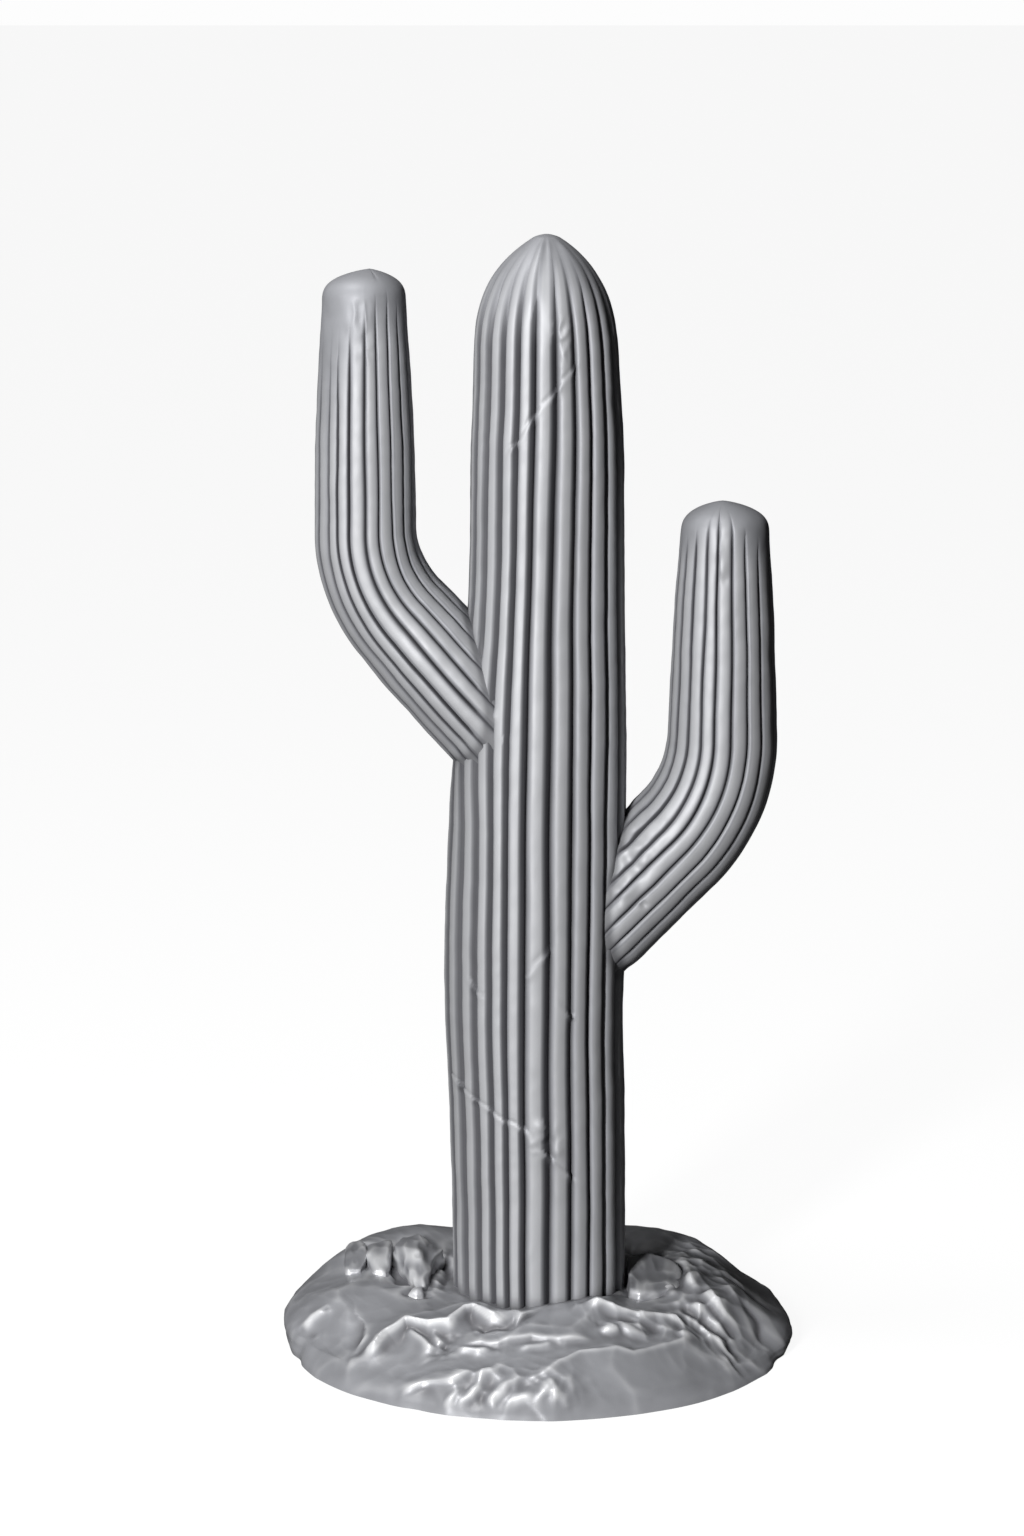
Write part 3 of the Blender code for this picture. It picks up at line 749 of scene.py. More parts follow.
def carve_trunk(material):
    """The ribbed column, with its creases, its worked-over places and its dome."""
    columns = TRUNK_RIBS * POINTS_ON_A_RIB
    trunk = plain_bar("trunk_casting", columns, TRUNK_STOPS)
    blank = read_points(trunk.data)
    column, row, on_axis, rows = bar_grid(blank, columns)
    height = np.minimum(blank[:, 2], HEIGHT)
    rib, share = column // POINTS_ON_A_RIB, rib_share(column)
    grooves = trunk_grooves(rows) + strays(rows, TRUNK_RIBS, TRUNK_WANDER)
    turn = np.radians(across_rib(grooves, row, rib, share))
    degrees = from_front(np.degrees(turn))
    up_dome = height - (HEIGHT - TRUNK_DOME)
    taper = dome_factor(up_dome / (TRUNK_DOME + TRUNK_TIP), TRUNK_DOME_SHAPE)
    taper = taper * blunted(HEIGHT - height, TRUNK_TIP)
    girth = through(TRUNK_GIRTH, height) * taper
    middle = through(TRUNK_AXIS, height)
    sway = (through(TRUNK_OUTLINE_MIDDLE, height) - middle) * taper
    width = np.radians(grooves[row, rib + 1] - grooves[row, rib]) * girth
    deep = rib_drop(0.0, width, TRUNK_RIB, TRUNK_CROWN)
    drop = rib_drop(share, width, TRUNK_RIB, TRUNK_CROWN)
    on_dome = ease((up_dome - VALLEYS_START) / VALLEYS_COME_IN)
    ribbed = trunk_ribs_left(degrees, height)
    drop = drop + (trunk_valleys(rows, row, rib, share, deep) * ribbed - drop) * on_dome
    drop = drop * across_rib(1 + strays(rows, TRUNK_RIBS, TRUNK_DEPTHS), row, rib, share)
    drop = folded(drop, turn * TRUNK_RADIUS, height)
    crowns = np.stack([middle + girth * np.sin(turn), -girth * np.cos(turn), height], 1)
    for arm in (LEFT_ARM, RIGHT_ARM):
        filled, reach = arm["merge"]
        drop = drop * (1 - filled * hill(gap_to_arm(crowns, arm), reach))
    drop = ridged(drop - worked_over(degrees, TRUNK_RADIUS, height, KNOTS), degrees, height)
    out = girth - drop + handmade(on_bar(turn, girth, height), 1.0) * taper
    x = middle + out * np.sin(turn) + sway * abs(np.sin(turn))
    points = np.stack([x, -out * np.cos(turn), height], 1)
    points[on_axis] = (TRUNK_AXIS[-1][1], 0, HEIGHT)
    # Shade is painted into the grooves, less of it on the dome and on the left side, which faces the light,
    # and into the joints with the arms and the rock; a highlight is painted along the crowns
    shaded = shade_in(drop, deep, TRUNK_SHADE_GAIN) * (1 - SHADE_LOST_ON_DOME * on_dome) * ribbed
    on_left, start, over = SHADE_ON_LEFT
    shaded = shaded * (on_left + (1 - on_left) * ease((degrees - start) / over))
    masks = rib_masks(share, shaded, TRUNK_PAINTED_SHADE, TRUNK_CROWN)
    masks["painted_highlight_mask"] = masks["painted_highlight_mask"] * ribbed
    for arm in (LEFT_ARM, RIGHT_ARM):
        paint_shade(masks, gap_to_arm(points, arm), strength=0.5, reach=0.004)
    paint_shade(masks, height - TRUNK_MEETS_ROCK, strength=0.7, reach=0.010)
    finish_casting(trunk, points, masks, ("trunk",), material)


def arm_course(arm):
    """Lengths along an arm's axis: the turn of its bend, the bend's start and end, and the tip."""
    out, height = arm["corner"]
    rise = height - arm["root_height"]
    turn = math.atan2(out, rise)
    tangent_length = arm["bend_radius"] * math.tan(turn / 2)
    bend_start = math.hypot(out, rise) - tangent_length
    bend_end = bend_start + arm["bend_radius"] * turn
    return turn, bend_start, bend_end, bend_end + arm["tip"] - height - tangent_length


def arm_axis(arm, length):
    """Axis points and tangents at lengths from the trunk's axis: x, z, then the tangent's x, z."""
    turn, bend_start, bend_end, whole = arm_course(arm)
    side, radius = arm["side"], arm["bend_radius"]
    angle = turn - np.clip(length - bend_start, 0, bend_end - bend_start) / radius
    before = np.minimum(length, bend_start)
    beyond = np.maximum(length - bend_end, 0)
    x = math.sin(turn) * before + radius * (np.cos(angle) - math.cos(turn))
    z = arm["root_height"] + math.cos(turn) * before + radius * (math.sin(turn) - np.sin(angle)) + beyond
    x = side * x + arm["tip_drift"] * beyond / (whole - bend_end)
    return x, z, side * np.sin(angle), np.cos(angle)


def gap_to_arm(points, arm):
    """How far points of the trunk lie outside an arm's rounded root."""
    whole = arm_course(arm)[3]
    nearest = np.full(len(points), np.inf)
    for length in np.arange(0.06, 0.30, 0.006):
        x, z, _, _ = arm_axis(arm, np.array([length]))
        girth = through(arm["girth"], np.array([whole - length]))[0]
        off = np.sqrt((points[:, 0] - x[0]) ** 2 + points[:, 1] ** 2 + (points[:, 2] - z[0]) ** 2)
        nearest = np.minimum(nearest, off - girth)
    return np.maximum(nearest, 0)


def gap_to_trunk(x, y, z):
    """How far points of an arm lie outside the trunk's crowns."""
    return np.maximum(np.hypot(x - through(TRUNK_AXIS, z), y) - through(TRUNK_GIRTH, z), 0)


def arm_grooves(arm):
    """The groove angles of an arm, with the first repeated at the end."""
    front = list(arm["grooves"])
    step = (front[0] + 360 - front[-1]) / arm["back_ribs"]
    return np.array(front + [front[-1] + step * i for i in range(1, arm["back_ribs"] + 1)])


def arm_ribs_left(arm, degrees, to_tip):
    """How much of an arm's ribs is left towards its tip, and where they are faint."""
    fade = arm["rib_fade"] + arm["faint_length"] * hill(degrees - arm["faint_angle"], FAINT_WIDTH)
    highest_groove, nearest = arm["ribs_end"]
    end = nearest + RIBS_END_LOWER * (1 - hill(degrees - highest_groove, RIBS_END_WIDTH))
    return ease((to_tip - end) / fade)


def carve_arm(arm, material):
    """An arm: a ribbed bar that bends upwards, sunk into the trunk at its root, with a blunt top."""
    placed = arm_grooves(arm)
    ribs = len(placed) - 1
    columns = ribs * POINTS_ON_A_RIB
    whole = arm_course(arm)[3]
    spring = whole - arm["dome"]
    stops = ((ARM_START, 0), (spring / 2, 99), (spring, 99), (whole - 0.008, 24), (whole - 0.001, 8))
    casting = plain_bar(arm["name"] + "_casting", columns, stops)
    blank = read_points(casting.data)
    column, row, on_axis, rows = bar_grid(blank, columns)
    length = np.minimum(blank[:, 2], whole)
    rib, share = column // POINTS_ON_A_RIB, rib_share(column)
    grooves = placed + strays(rows, ribs, ARM_WANDER, arm["seed"])
    grooves[:, -1] = grooves[:, 0] + 360
    degrees = from_front(across_rib(grooves, row, rib, share))
    turn = np.radians(degrees)
    to_tip = whole - length
    taper = dome_factor(1 - to_tip / arm["dome"], ARM_DOME_SHAPE)
    girth = through(arm["girth"], to_tip) * taper
    width = np.radians(grooves[row, rib + 1] - grooves[row, rib]) * girth
    deep = rib_drop(0.0, width, ARM_RIB, ARM_CROWN)
    ribbed = arm_ribs_left(arm, degrees, to_tip)
    drop = rib_drop(share, width, ARM_RIB, ARM_CROWN) * ribbed
    drop = drop * across_rib(1 + strays(rows, ribs, ARM_DEPTHS, arm["seed"]), row, rib, share)
    rough = on_bar(turn, girth, length)
    out = girth - drop + handmade(rough, arm["seed"]) * taper
    lumpy_length, lumpy_reach, half_width = LUMPY_PLACE
    lumpy = hill(length - lumpy_length, lumpy_reach) * hill(degrees - arm["lumpy_angle"], half_width)
    out = out + arm["lumps"] * unevenness(rough, LUMP_SIZE, LUMP_SEED) * lumpy
    out = out + worked_over(degrees, ARM_RADIUS, to_tip, arm["knots"])
    x, z, tangent_x, tangent_z = arm_axis(arm, length)
    x = x + arm["apex"] * (1 - taper)
    across, below = np.sin(turn) * tangent_z, np.sin(turn) * tangent_x
    swell = 1 + (arm["root_swell"] - 1) * ease((SWELL_ENDS - length) / SWELL_LENGTH)

    def in_place(out):
        """The places of points this far out from the arm's axis."""
        return x + out * across, -out * np.cos(turn) * swell, z - out * below

    gap = gap_to_trunk(*in_place(out))
    out = out + (drop - arm["root_sink"] * deep) * 0.8 * hill(gap, 0.006)
    points = np.stack(in_place(out), 1)
    tip = arm_axis(arm, np.array([whole]))
    points[on_axis] = (tip[0][0] + arm["apex"], 0, tip[1][0])
    # Shade is painted into the grooves, fading near the tip, and into the joint with the trunk; a highlight is
    # painted along the crowns
    shaded = shade_in(drop, deep, ARM_SHADE_GAIN) * ease(to_tip / 0.05)
    masks = rib_masks(share, shaded, ARM_PAINTED_SHADE, ARM_CROWN)
    masks["painted_highlight_mask"] = masks["painted_highlight_mask"] * ribbed
    paint_shade(masks, gap, strength=0.6, reach=0.004)
    finish_casting(casting, points, masks, arm["nodes"], material)


def turn_to_sides(angle):
    """0 at the front of the base, and 1 at its sides and back."""
    return ease((abs(from_front(np.degrees(angle))) - FRONT_ENDS) / (SIDES_START - FRONT_ENDS))


def swell_rise(x, y, swell):
    """An oval mound or dip."""
    middle_x, middle_y, half_length, half_width, turn, rise, squareness = swell
    cos, sin = math.cos(math.radians(turn)), math.sin(math.radians(turn))
    along = ((x - middle_x) * cos + (y - middle_y) * sin) / half_length
    across = ((y - middle_y) * cos - (x - middle_x) * sin) / half_width
    return rise * np.exp(-((along**2 + across**2) ** squareness))


def ledge_rise(x, y, ledge):
    """A ridge along a line, each side falling at its own width, with a fine lip along its crest."""
    points, rise, behind, in_front, fade = ledge
    off, along, side = line_distance(x, y, points)
    length = sum(math.dist(start, end) for start, end in zip(points, points[1:]))
    ends = 1.0
    for (end_x, end_y), (next_x, next_y), reached in (
        (points[0], points[1], along < 1e-6),
        (points[-1], points[-2], along > 1 - 1e-6),
    ):
        out_x, out_y = end_x - next_x, end_y - next_y
        beyond = reached * ((x - end_x) * out_x + (y - end_y) * out_y) / math.hypot(out_x, out_y)
        ends = ends * ease(np.hypot(x - end_x, y - end_y) / (fade * length)) * (1 - ease(beyond / 0.006))
    width = in_front + (behind - in_front) * ease(0.5 + side * off / 0.008)
    rounded = np.sqrt(off**2 + CREST_ROUNDING**2) - CREST_ROUNDING
    return rise * ends * (0.8 * np.exp(-((rounded / width) ** 1.4)) + 0.2 * np.exp(-rounded / 0.003))


def blended(rises):
    """The rises of many forms as one surface, the higher ones on top, without sharp joints between them."""
    return sum(abs(rise) ** 3 for rise in rises) ** (1 / 3)


def lip_drop(angle):
    """How much lower the lip of the base lies towards the right, where the rock falls away."""
    return LIP_DROP * np.maximum(np.sin(angle), 0.0) ** 2


def rim_height(sides):
    """The height of the lip, between the front's and the sides'."""
    return (1 - sides) * RIM[-1][0][0] + sides * RIM[-1][1][0]


def top_height(x, y, lip):
    """The height of the rock's mound with its swellings, inside the lip."""
    out = np.hypot(x, y)
    angle = np.arctan2(x, -y)
    sides = turn_to_sides(angle)
    mound = (1 - sides) * through(FRONT_RISE, out) + sides * through(BACK_RISE, out)
    mound -= lip_drop(angle) * ease((out - DROP_STARTS) / (lip - DROP_STARTS))
    at_lip = (1 - sides) * through(FRONT_RISE, lip) + sides * through(BACK_RISE, lip)
    mound += (rim_height(sides) - at_lip) * ease((out - lip + LIP_BLEND) / LIP_BLEND)
    rocks = sum(swell_rise(x, y, swell) for swell in SWELLS)
    return mound + rocks * (ROCKS_LEFT_AT_LIP + (1 - ROCKS_LEFT_AT_LIP) * ease((lip - out) / ROCKS_END))


def pushed(x, y, places, bent):
    """Places pushed about at random, so that what is drawn straight comes out bent."""
    push, size, seed = bent
    return x + push * unevenness(places, size, seed), y + push * unevenness(places, size, seed + 6)


def scooped(x, y, faces):
    """Scooped faces with softened crests between them, like broken rock: the lowest of many tilted bowls."""
    spacing, bowl, tilt, seed = faces
    random = np.random.default_rng(seed)
    count = int(2 * FACES_REACH / spacing) + 1
    softness = 0.0004
    total = np.zeros(x.shape)
    for i in range(count):
        for j in range(count):
            site_x = -FACES_REACH + (i + random.uniform(0.1, 0.9)) * spacing
            site_y = -FACES_REACH + (j + random.uniform(0.1, 0.9)) * spacing
            tilt_x, tilt_y = random.uniform(-tilt, tilt, 2)
            rise = random.uniform(-0.3, 0.3) * bowl
            off_x, off_y = x - site_x, y - site_y
            face = rise + tilt_x * off_x + tilt_y * off_y + bowl * (off_x**2 + off_y**2) / (spacing / 2) ** 2
            total += np.exp(-face / softness)
    return -softness * np.log(total)


def rock_relief(x, y, height):
    """The crisp relief on the rocks, in metres square to the surface, and how crumpled it is."""
    places = np.stack([x, y, height], 1)
    bent_x, bent_y = pushed(x, y, places, LINES_BENT)
    raised = blended(ledge_rise(bent_x, bent_y, ledge) for ledge in LEDGES)
    raised -= blended(ledge_rise(bent_x, bent_y, cleft) for cleft in CLEFTS)
    raised += blended(swell_rise(bent_x, bent_y, lump) for lump in LUMPS)
    crumple = np.clip(PLAIN_CRUMPLE + sum(swell_rise(x, y, zone) for zone in CRUMPLED), 0.05, 1.1)
    bent_x, bent_y = pushed(x, y, places, FACES_BENT)
    coarse = scooped(bent_x, bent_y, COARSE_FACES)
    fine = scooped(bent_x + 0.5 * bent_y, 0.75 * bent_y - 0.3 * bent_x, FINE_FACES)
    ring, reach, rise = MORTAR
    mortar = hill(np.hypot(x, y) - ring, reach) * (0.7 + unevenness(places, 0.020, 65.0))
    relief = raised + (0.2 + 0.8 * crumple) * coarse + crumple**1.5 * fine + rise * mortar
    return relief + 0.6 * handmade(places, 21.0), crumple


def gap_to_stones(x, y):
    """How far places lie from the nearest edge of a stone that stands in a moat."""
    gap = np.full(x.shape, np.inf)
    for name, corners, *_ in STONES:
        if name in STONES_IN_MOATS:
            outline = [corner[:2] for corner in corners + corners[:1]]
            gap = np.minimum(gap, line_distance(x, y, outline)[0])
    return gap


def stone_block(name, corners, rise):
    """A block below a face with these corners, whose middle is raised and whose sides flare downwards."""
    bpy.ops.object.select_all(action="DESELECT")
    bpy.ops.mesh.primitive_circle_add(vertices=len(corners), radius=1, fill_type="NGON")
    stone = bpy.context.object
    stone.name = name
    stone.data.vertices.foreach_set("co", np.array(corners, np.float32).ravel())
    bpy.ops.object.mode_set(mode="EDIT")
    bpy.ops.mesh.select_all(action="SELECT")
    bpy.ops.mesh.normals_make_consistent(inside=False)
    bpy.ops.mesh.poke()
    bpy.ops.mesh.select_all(action="SELECT")
    bpy.ops.mesh.extrude_region_move(TRANSFORM_OT_translate={"value": (0, 0, -STONE_THICKNESS)})
    bpy.ops.transform.resize(value=(STONE_FLARE, STONE_FLARE, 1))
    bpy.ops.mesh.select_all(action="SELECT")
    bpy.ops.mesh.normals_make_consistent(inside=False)
    bpy.ops.object.mode_set(mode="OBJECT")
    middle = max(stone.data.vertices[len(corners):], key=lambda point: point.co.z)
    middle.co.z += rise
    return stone


def lay_stone(name, corners, rise, rounding, dents, seed, material):
    """A stone sunk into the rock: a block, evened out, rounded and dented."""
    stone = stone_block(name, corners, rise)
    even = stone.modifiers.new("even", "REMESH")
    even.mode = "VOXEL"
    even.voxel_size = STONE_GRAIN
    rounded = stone.modifiers.new("rounded", "SMOOTH")
    rounded.factor = 0.5
    rounded.iterations = rounding
    for modifier in (even.name, rounded.name):
        bpy.ops.object.modifier_apply(modifier=modifier)
    mesh = stone.data
    points = read_points(mesh)
    outwards = np.zeros(len(mesh.vertices) * 3)
    mesh.vertices.foreach_get("normal", outwards)
    drawn_out = points * (1.0, 0.35, 1.0)
    bumps = unevenness(drawn_out, 0.016, seed) - abs(unevenness(drawn_out, 0.012, seed + 3))
    points = points + outwards.reshape(-1, 3) * (dents * bumps)[:, None]
    # The stone is painted lighter all over, with a painted highlight on its bumps and painted shade in its
    # dents
    masks = {"hollow": -0.4 * bumps, "painted_highlight_mask": 0.5 + 1.2 * bumps}
    masks["wrinkled"] = np.full(len(points), PLAIN_CRUMPLE)
    finish_casting(stone, points, masks, ("base",), material)


def rim_profile(level, sides):
    """The rim's height and distance out at each level of the blank, between the front's and the sides'."""
    profile = []
    for part in (0, 1):
        front = [(i * RIM_STEP, pair[0][part]) for i, pair in enumerate(RIM)]
        side = [(i * RIM_STEP, pair[1][part]) for i, pair in enumerate(RIM)]
        profile.append(through(front, level) * (1 - sides) + through(side, level) * sides)
    return profile


def uneven_outline(angle):
    """How far the outline of the base strays outwards, with its notches."""
    circle = np.stack([np.sin(angle), np.cos(angle), np.zeros(len(angle))], 1)
    outline = 0.0022 * unevenness(circle, 0.35, 3.0)
    for notch, half_width, depth in NOTCHES:
        outline = outline - depth * hill(from_front(np.degrees(angle)) - notch, half_width)
    return outline


def carve_base(material):
    """The rock base: a disc drawn up into a thin plate, its top drawn in ring by ring and carved."""
    rim_top = (len(RIM) - 1) * RIM_STEP
    stops = tuple((i * RIM_STEP, 3) for i in range(len(RIM)))
    stops += ((BLANK_TOP / 2, TOP_RINGS // 2), (BLANK_TOP, TOP_RINGS // 2))
    casting = plain_bar("base_casting", SPOKES, stops)
    blank = read_points(casting.data)
    column, row, on_axis, _ = bar_grid(blank, SPOKES)
    angle = column * 2 * math.pi / SPOKES
    level = blank[:, 2]
    sides = turn_to_sides(angle)
    height, out = rim_profile(level, sides)
    height = height * (1 - lip_drop(angle) / rim_height(sides))
    lip = RIM[-1][0][1] * (1 - sides) + RIM[-1][1][1] * sides
    inward = np.clip((level - rim_top) / (BLANK_TOP - rim_top), 0, 1)
    top = inward > 0
    out = np.where(top, lip + (HUB - lip) * inward, out)
    x, y = out * np.sin(angle), -out * np.cos(angle)
    height[top] = top_height(x[top], y[top], lip[top])
    relief, crumple = rock_relief(x, y, height)
    to_stone = gap_to_stones(x, y)
    moat_depth, moat_reach = MOAT
    start, over = RELIEF_WHOLE
    relief = relief * (0.5 + 0.5 * ease((out - start) / over)) - moat_depth * top * hill(to_stone, moat_reach)
    foot = (1 - sides) * ease((FOOT_HEIGHT - height) / FOOT_HEIGHT)
    relief = (relief - RELIEF_CUT_BACK) * (1 - FOOT_LOSS * foot)
    lean = np.where(top, 0.5 + 0.5 * ease((lip - out) / 0.03), 0.5 * ease(level / rim_top)) * math.pi / 2
    reach = relief * np.cos(lean) + uneven_outline(angle) * ease((out - 0.18) / 0.09)
    x, y = x + reach * np.sin(angle), y - reach * np.cos(angle)
    lifted = np.maximum(height + relief * np.sin(lean), 0)
    points = np.stack([x, y, np.where(level > 0, lifted, 0)], 1)
    points[on_axis] = (0, 0, HUB_HEIGHT)
    # Shade is painted into the hollows, where the rock meets the trunk and round the stones, and a highlight
    # on the crests
    masks = hollows_and_crests(relief, row, column)
    paint_shade(masks, out - ROCK_MEETS_TRUNK, strength=0.8, reach=0.007)
    paint_shade(masks, to_stone, strength=0.7, reach=0.005)
    masks["wrinkled"] = crumple
    finish_casting(casting, points, masks, ("base",), material)


def hollows_and_crests(relief, row, column):
    """How far each point of the base lies below or above the relief around it, each from 0 to 1: painted shade
    in the hollows, painted highlight on the crests.
    """
    grid = np.zeros((row.max() + 1, SPOKES))
    grid[row, column] = relief
    reach = 6
    padded = np.pad(grid, ((0, 0), (reach, reach)), mode="wrap")
    padded = np.pad(padded, ((reach, reach), (0, 0)), mode="edge")
    total = sum(
        padded[i : i + grid.shape[0], j : j + SPOKES]
        for i in range(0, 2 * reach + 1, 2)
        for j in range(0, 2 * reach + 1, 2)
    )
    above = (grid - total / (reach + 1) ** 2)[row, column] / RELIEF_MARKED
    return {"hollow": np.clip(-above, 0, 1), "painted_highlight_mask": np.clip(above, 0, 1)}


def set_inputs(node, values):
    """Sets a node's inputs by their names."""
    for title, value in values.items():
        node.inputs[title].default_value = value


def new_group(name, inputs, outputs):
    """An empty node group with named inputs and outputs, and the nodes they come from and go to."""
    group = bpy.data.node_groups.new(name, "ShaderNodeTree")
    for title, kind in inputs:
        group.interface.new_socket(name=title, in_out="INPUT", socket_type="NodeSocket" + kind)
    for title, kind in outputs:
        group.interface.new_socket(name=title, in_out="OUTPUT", socket_type="NodeSocket" + kind)
    return group, group.nodes.new("NodeGroupInput"), group.nodes.new("NodeGroupOutput")


def mixed(tree, kind, factor, first, second):
    """A Mix node of colours or numbers; each input is a socket or a value. Gives back its result."""
    mix = tree.nodes.new("ShaderNodeMix")
    mix.data_type = kind
    *places, result = {"FLOAT": (0, 2, 3, 0), "RGBA": (0, 6, 7, 2)}[kind]
    for place, given in zip(places, (factor, first, second)):
        if isinstance(given, bpy.types.NodeSocket):
            tree.links.new(given, mix.inputs[place])
        else:
            mix.inputs[place].default_value = given
    return mix.outputs[result]


def mark_on(tree, title):
    """One of a casting's own marks, such as where its painted shade lies, from 0 to 1."""
    mark = tree.nodes.new("ShaderNodeAttribute")
    mark.attribute_name = title
    return mark.outputs["Fac"]


def placed_group(tree, nodes, values):
    """A shared group placed in a material, with its own values."""
    placed = tree.nodes.new("ShaderNodeGroup")
    placed.node_tree = nodes
    set_inputs(placed, values)
    return placed


def shade_and_highlight_group():
    """Paint with shade painted darker into the hollows and a highlight painted lighter on the crests."""
    colours = (("Paint", "Color"), ("Painted Shade", "Color"), ("Painted Highlight", "Color"))
    marks = (("Painted Shade Mask", "Float"), ("Painted Highlight Mask", "Float"))
    group, given, result = new_group("painted_shade_and_highlight", colours + marks, (("Color", "Color"),))
    light = mixed(group, "RGBA", given.outputs["Painted Highlight Mask"], given.outputs["Paint"], given.outputs["Painted Highlight"])
    dark = mixed(group, "RGBA", given.outputs["Painted Shade Mask"], light, given.outputs["Painted Shade"])
    group.links.new(dark, result.inputs["Color"])
    return group


def mottle_group():
    """Cloudy patches and a fine grain on Object coordinates, each as a mask."""
    group, given, result = new_group(
        "cast_mottle",
        (("Patch Scale", "Float"), ("Grain Scale", "Float")),
        (("Patches", "Float"), ("Grain", "Float")),
    )
    place = group.nodes.new("ShaderNodeTexCoord")
    for scale, title, detail in (("Patch Scale", "Patches", 3.0), ("Grain Scale", "Grain", 4.0)):
        cloud = group.nodes.new("ShaderNodeTexNoise")
        set_inputs(cloud, {"Detail": detail})
        group.links.new(place.outputs["Object"], cloud.inputs["Vector"])
        group.links.new(given.outputs[scale], cloud.inputs["Scale"])
        group.links.new(cloud.outputs["Fac"], result.inputs[title])
    return group


def satin_paint(groups, name, painted_shade, painted_highlight, roughness, metallic, gloss):
    """Satin metal paint over a casting, with painted shade and painted highlight: its colour, sheen and grain
    from the shared groups.
    """
    shade_nodes, mottle_nodes = groups
    material = bpy.data.materials.new(name)
    material.use_nodes = True
    tree = material.node_tree
    shader = tree.nodes["Principled BSDF"]
    set_inputs(shader, {"Metallic": metallic, "Coat Weight": gloss, "Coat Roughness": 0.32})
    mottle = placed_group(tree, mottle_nodes, {"Patch Scale": 26.0, "Grain Scale": 420.0})
    patches = mottle.outputs["Patches"]
    # The casting's marks say where shade is painted darker and a highlight is painted lighter into the colour
    hollow, painted_highlight_mask = mark_on(tree, "hollow"), mark_on(tree, "painted_highlight_mask")
    shaded = placed_group(tree, shade_nodes, {"Painted Shade": painted_shade, "Painted Highlight": painted_highlight})
    darker, paler = (tuple(value * tone for value in GREY_PAINT[:3]) + (1,) for tone in PATCH_TONES)
    tree.links.new(mixed(tree, "RGBA", patches, darker, paler), shaded.inputs["Paint"])
    tree.links.new(hollow, shaded.inputs["Painted Shade Mask"])
    tree.links.new(painted_highlight_mask, shaded.inputs["Painted Highlight Mask"])
    tree.links.new(shaded.outputs["Color"], shader.inputs["Base Color"])
    sheen = mixed(tree, "FLOAT", patches, roughness - PATCH_SHEEN, roughness + PATCH_SHEEN)
    dull = mixed(tree, "FLOAT", hollow, sheen, roughness + DULLNESS_IN_SHADE)
    tree.links.new(dull, shader.inputs["Roughness"])
    bump = tree.nodes.new("ShaderNodeBump")
    set_inputs(bump, {"Strength": 0.12, "Distance": 0.0006})
    tree.links.new(mottle.outputs["Grain"], bump.inputs["Height"])
    tree.links.new(bump.outputs["Normal"], shader.inputs["Normal"])
    return material, bump


def wrinkled(material, bump):
    """Adds fine wrinkles to a paint where its piece is marked as wrinkled."""
    tree = material.node_tree
    place = tree.nodes.new("ShaderNodeTexCoord")
    creases = tree.nodes.new("ShaderNodeTexNoise")
    creases.noise_type = "RIDGED_MULTIFRACTAL"
    set_inputs(creases, {"Scale": 34.0, "Detail": 3.0, "Distortion": 0.6})
    tree.links.new(place.outputs["Object"], creases.inputs["Vector"])
    mark = mark_on(tree, "wrinkled")
    second = tree.nodes.new("ShaderNodeBump")
    set_inputs(second, {"Strength": 0.5, "Distance": 0.0034})
    tree.links.new(mixed(tree, "FLOAT", mark, 0.0, creases.outputs["Fac"]), second.inputs["Height"])
    tree.links.new(bump.outputs["Normal"], second.inputs["Normal"])
    tree.links.new(second.outputs["Normal"], tree.nodes["Principled BSDF"].inputs["Normal"])
    return material


def facing(place, aim):
    """The turn of a lamp or a camera at a place that makes it face its aim."""
    return (Vector(aim) - Vector(place)).to_track_quat("-Z", "Y").to_euler()


def soft_light(name, place, aim, size, power):
    """A rectangular light at a place, turned towards its aim."""
    light = bpy.data.lights.new(name, "AREA")
    light.shape = "RECTANGLE"
    light.size, light.size_y = size
    light.energy = power
    lamp = bpy.data.objects.new(name, light)
    bpy.context.scene.collection.objects.link(lamp)
    lamp.location = place
    lamp.rotation_euler = facing(place, aim)


def photo_camera():
    """The camera, a little higher than the figure and looking down at it, for a picture of 1024 by 1536."""
    data = bpy.data.cameras.new("camera")
    data.lens = CAMERA_LENS
    camera = bpy.data.objects.new("camera", data)
    bpy.context.scene.collection.objects.link(camera)
    camera.location = CAMERA_PLACE
    camera.rotation_euler = facing(CAMERA_PLACE, CAMERA_AIM)
    bpy.context.scene.camera = camera


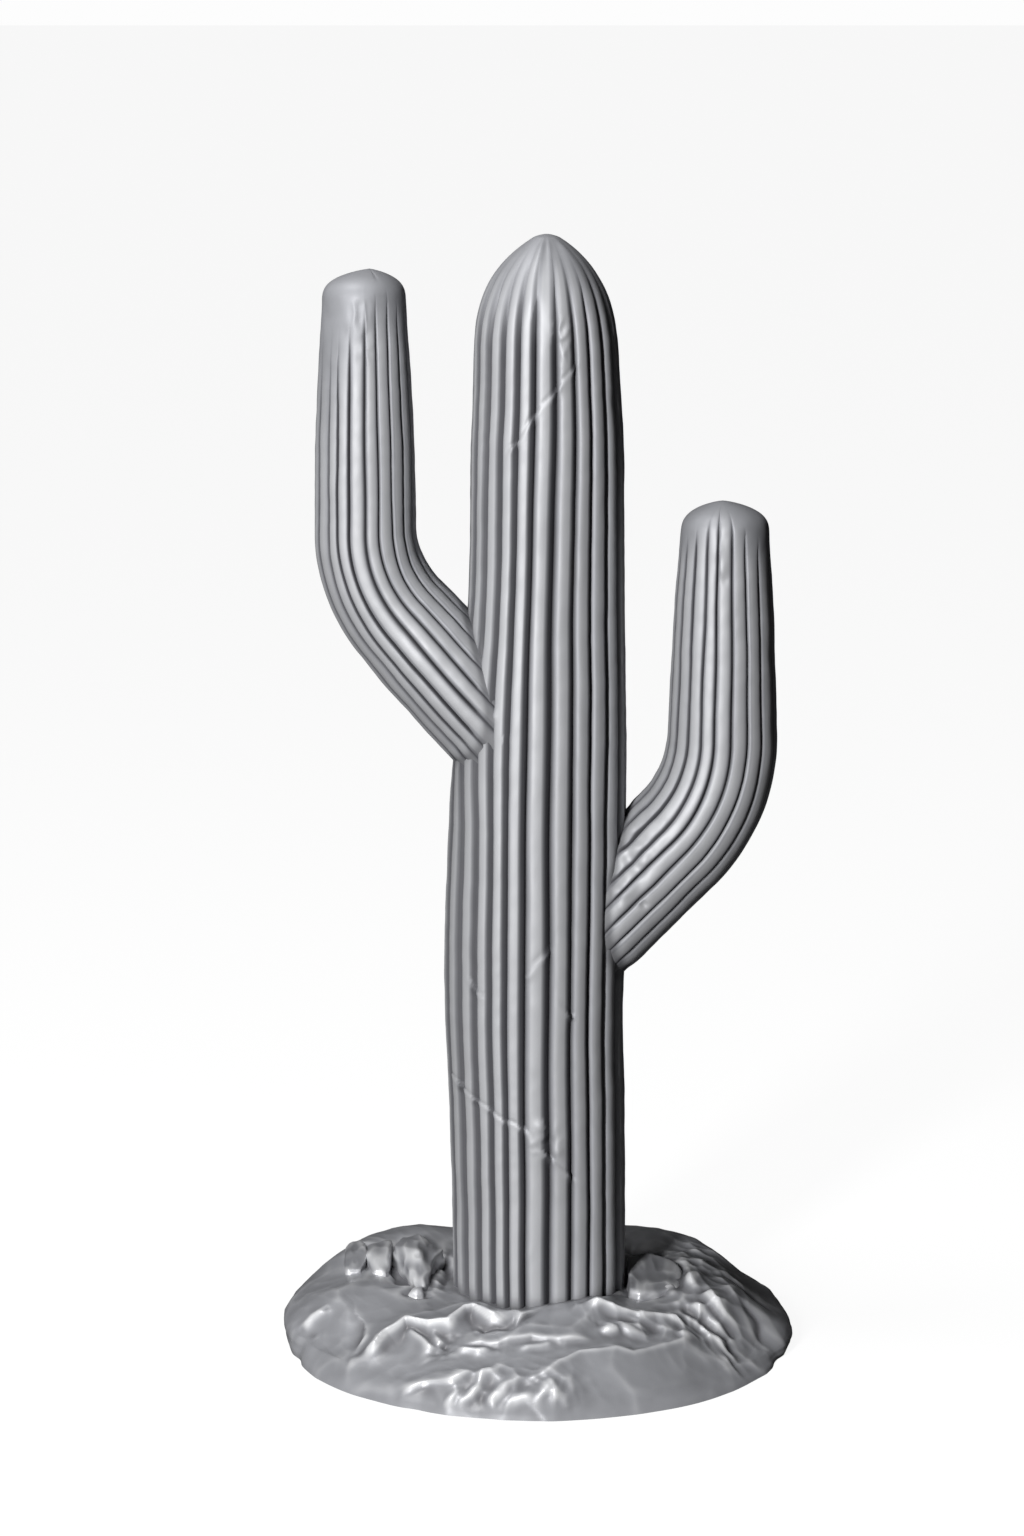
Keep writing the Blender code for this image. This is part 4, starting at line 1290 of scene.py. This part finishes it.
def pale_to_the_camera(tree, shader, brightness):
    """Adds an even pale light, which only the camera sees, to a surface of the studio."""
    seen = tree.nodes.new("ShaderNodeLightPath")
    plain = tree.nodes.new("ShaderNodeEmission")
    plain.inputs["Color"].default_value = (brightness, brightness, brightness, 1)
    add = tree.nodes.new("ShaderNodeAddShader")
    mix = tree.nodes.new("ShaderNodeMixShader")
    tree.links.new(shader.outputs[0], add.inputs[0])
    tree.links.new(plain.outputs[0], add.inputs[1])
    tree.links.new(seen.outputs["Is Camera Ray"], mix.inputs[0])
    tree.links.new(shader.outputs[0], mix.inputs[1])
    tree.links.new(add.outputs[0], mix.inputs[2])
    return mix.outputs[0]


def pale_floor():
    """A wide floor that shows pale, with the figure's soft shadow on it."""
    bpy.ops.object.select_all(action="DESELECT")
    bpy.ops.mesh.primitive_plane_add(size=120, location=(0, 0, 0))
    floor = bpy.context.object
    floor.name = "floor"
    paint = bpy.data.materials.new("pale_floor")
    paint.use_nodes = True
    tree = paint.node_tree
    shader = tree.nodes["Principled BSDF"]
    set_inputs(shader, {"Base Color": (0.12, 0.12, 0.12, 1), "Roughness": 0.9, "Specular IOR Level": 0.0})
    tree.links.new(pale_to_the_camera(tree, shader, 0.93), tree.nodes["Material Output"].inputs["Surface"])
    floor.data.materials.append(paint)


def pale_surroundings():
    """White surroundings that light the figure only a little."""
    world = bpy.data.worlds.new("studio")
    bpy.context.scene.world = world
    world.use_nodes = True
    tree = world.node_tree
    dim = tree.nodes["Background"]
    set_inputs(dim, {"Color": (1, 1, 1, 1), "Strength": 0.012})
    tree.links.new(pale_to_the_camera(tree, dim, 0.97), tree.nodes["World Output"].inputs["Surface"])


def studio():
    """The floor, the lights and the surroundings."""
    pale_floor()
    soft_light("key", (-2.20, -4.75, 1.90), (0, 0, 0.55), (0.6, 2.2), 370)
    soft_light("top", (-1.10, -0.30, 3.80), (0, 0, 0.1), (1.1, 0.9), 60)
    pale_surroundings()
    view = bpy.context.scene.view_settings
    view.view_transform = "Standard"
    view.look = "None"


shared = (shade_and_highlight_group(), mottle_group())
figure_paint, _ = satin_paint(shared, **FIGURE_SATIN)
rock_paint = wrinkled(*satin_paint(shared, **ROCK_SATIN))
carve_trunk(figure_paint)
carve_arm(LEFT_ARM, figure_paint)
carve_arm(RIGHT_ARM, figure_paint)
carve_base(rock_paint)
for stone_facts in STONES:
    lay_stone(*stone_facts, rock_paint)
photo_camera()
studio()
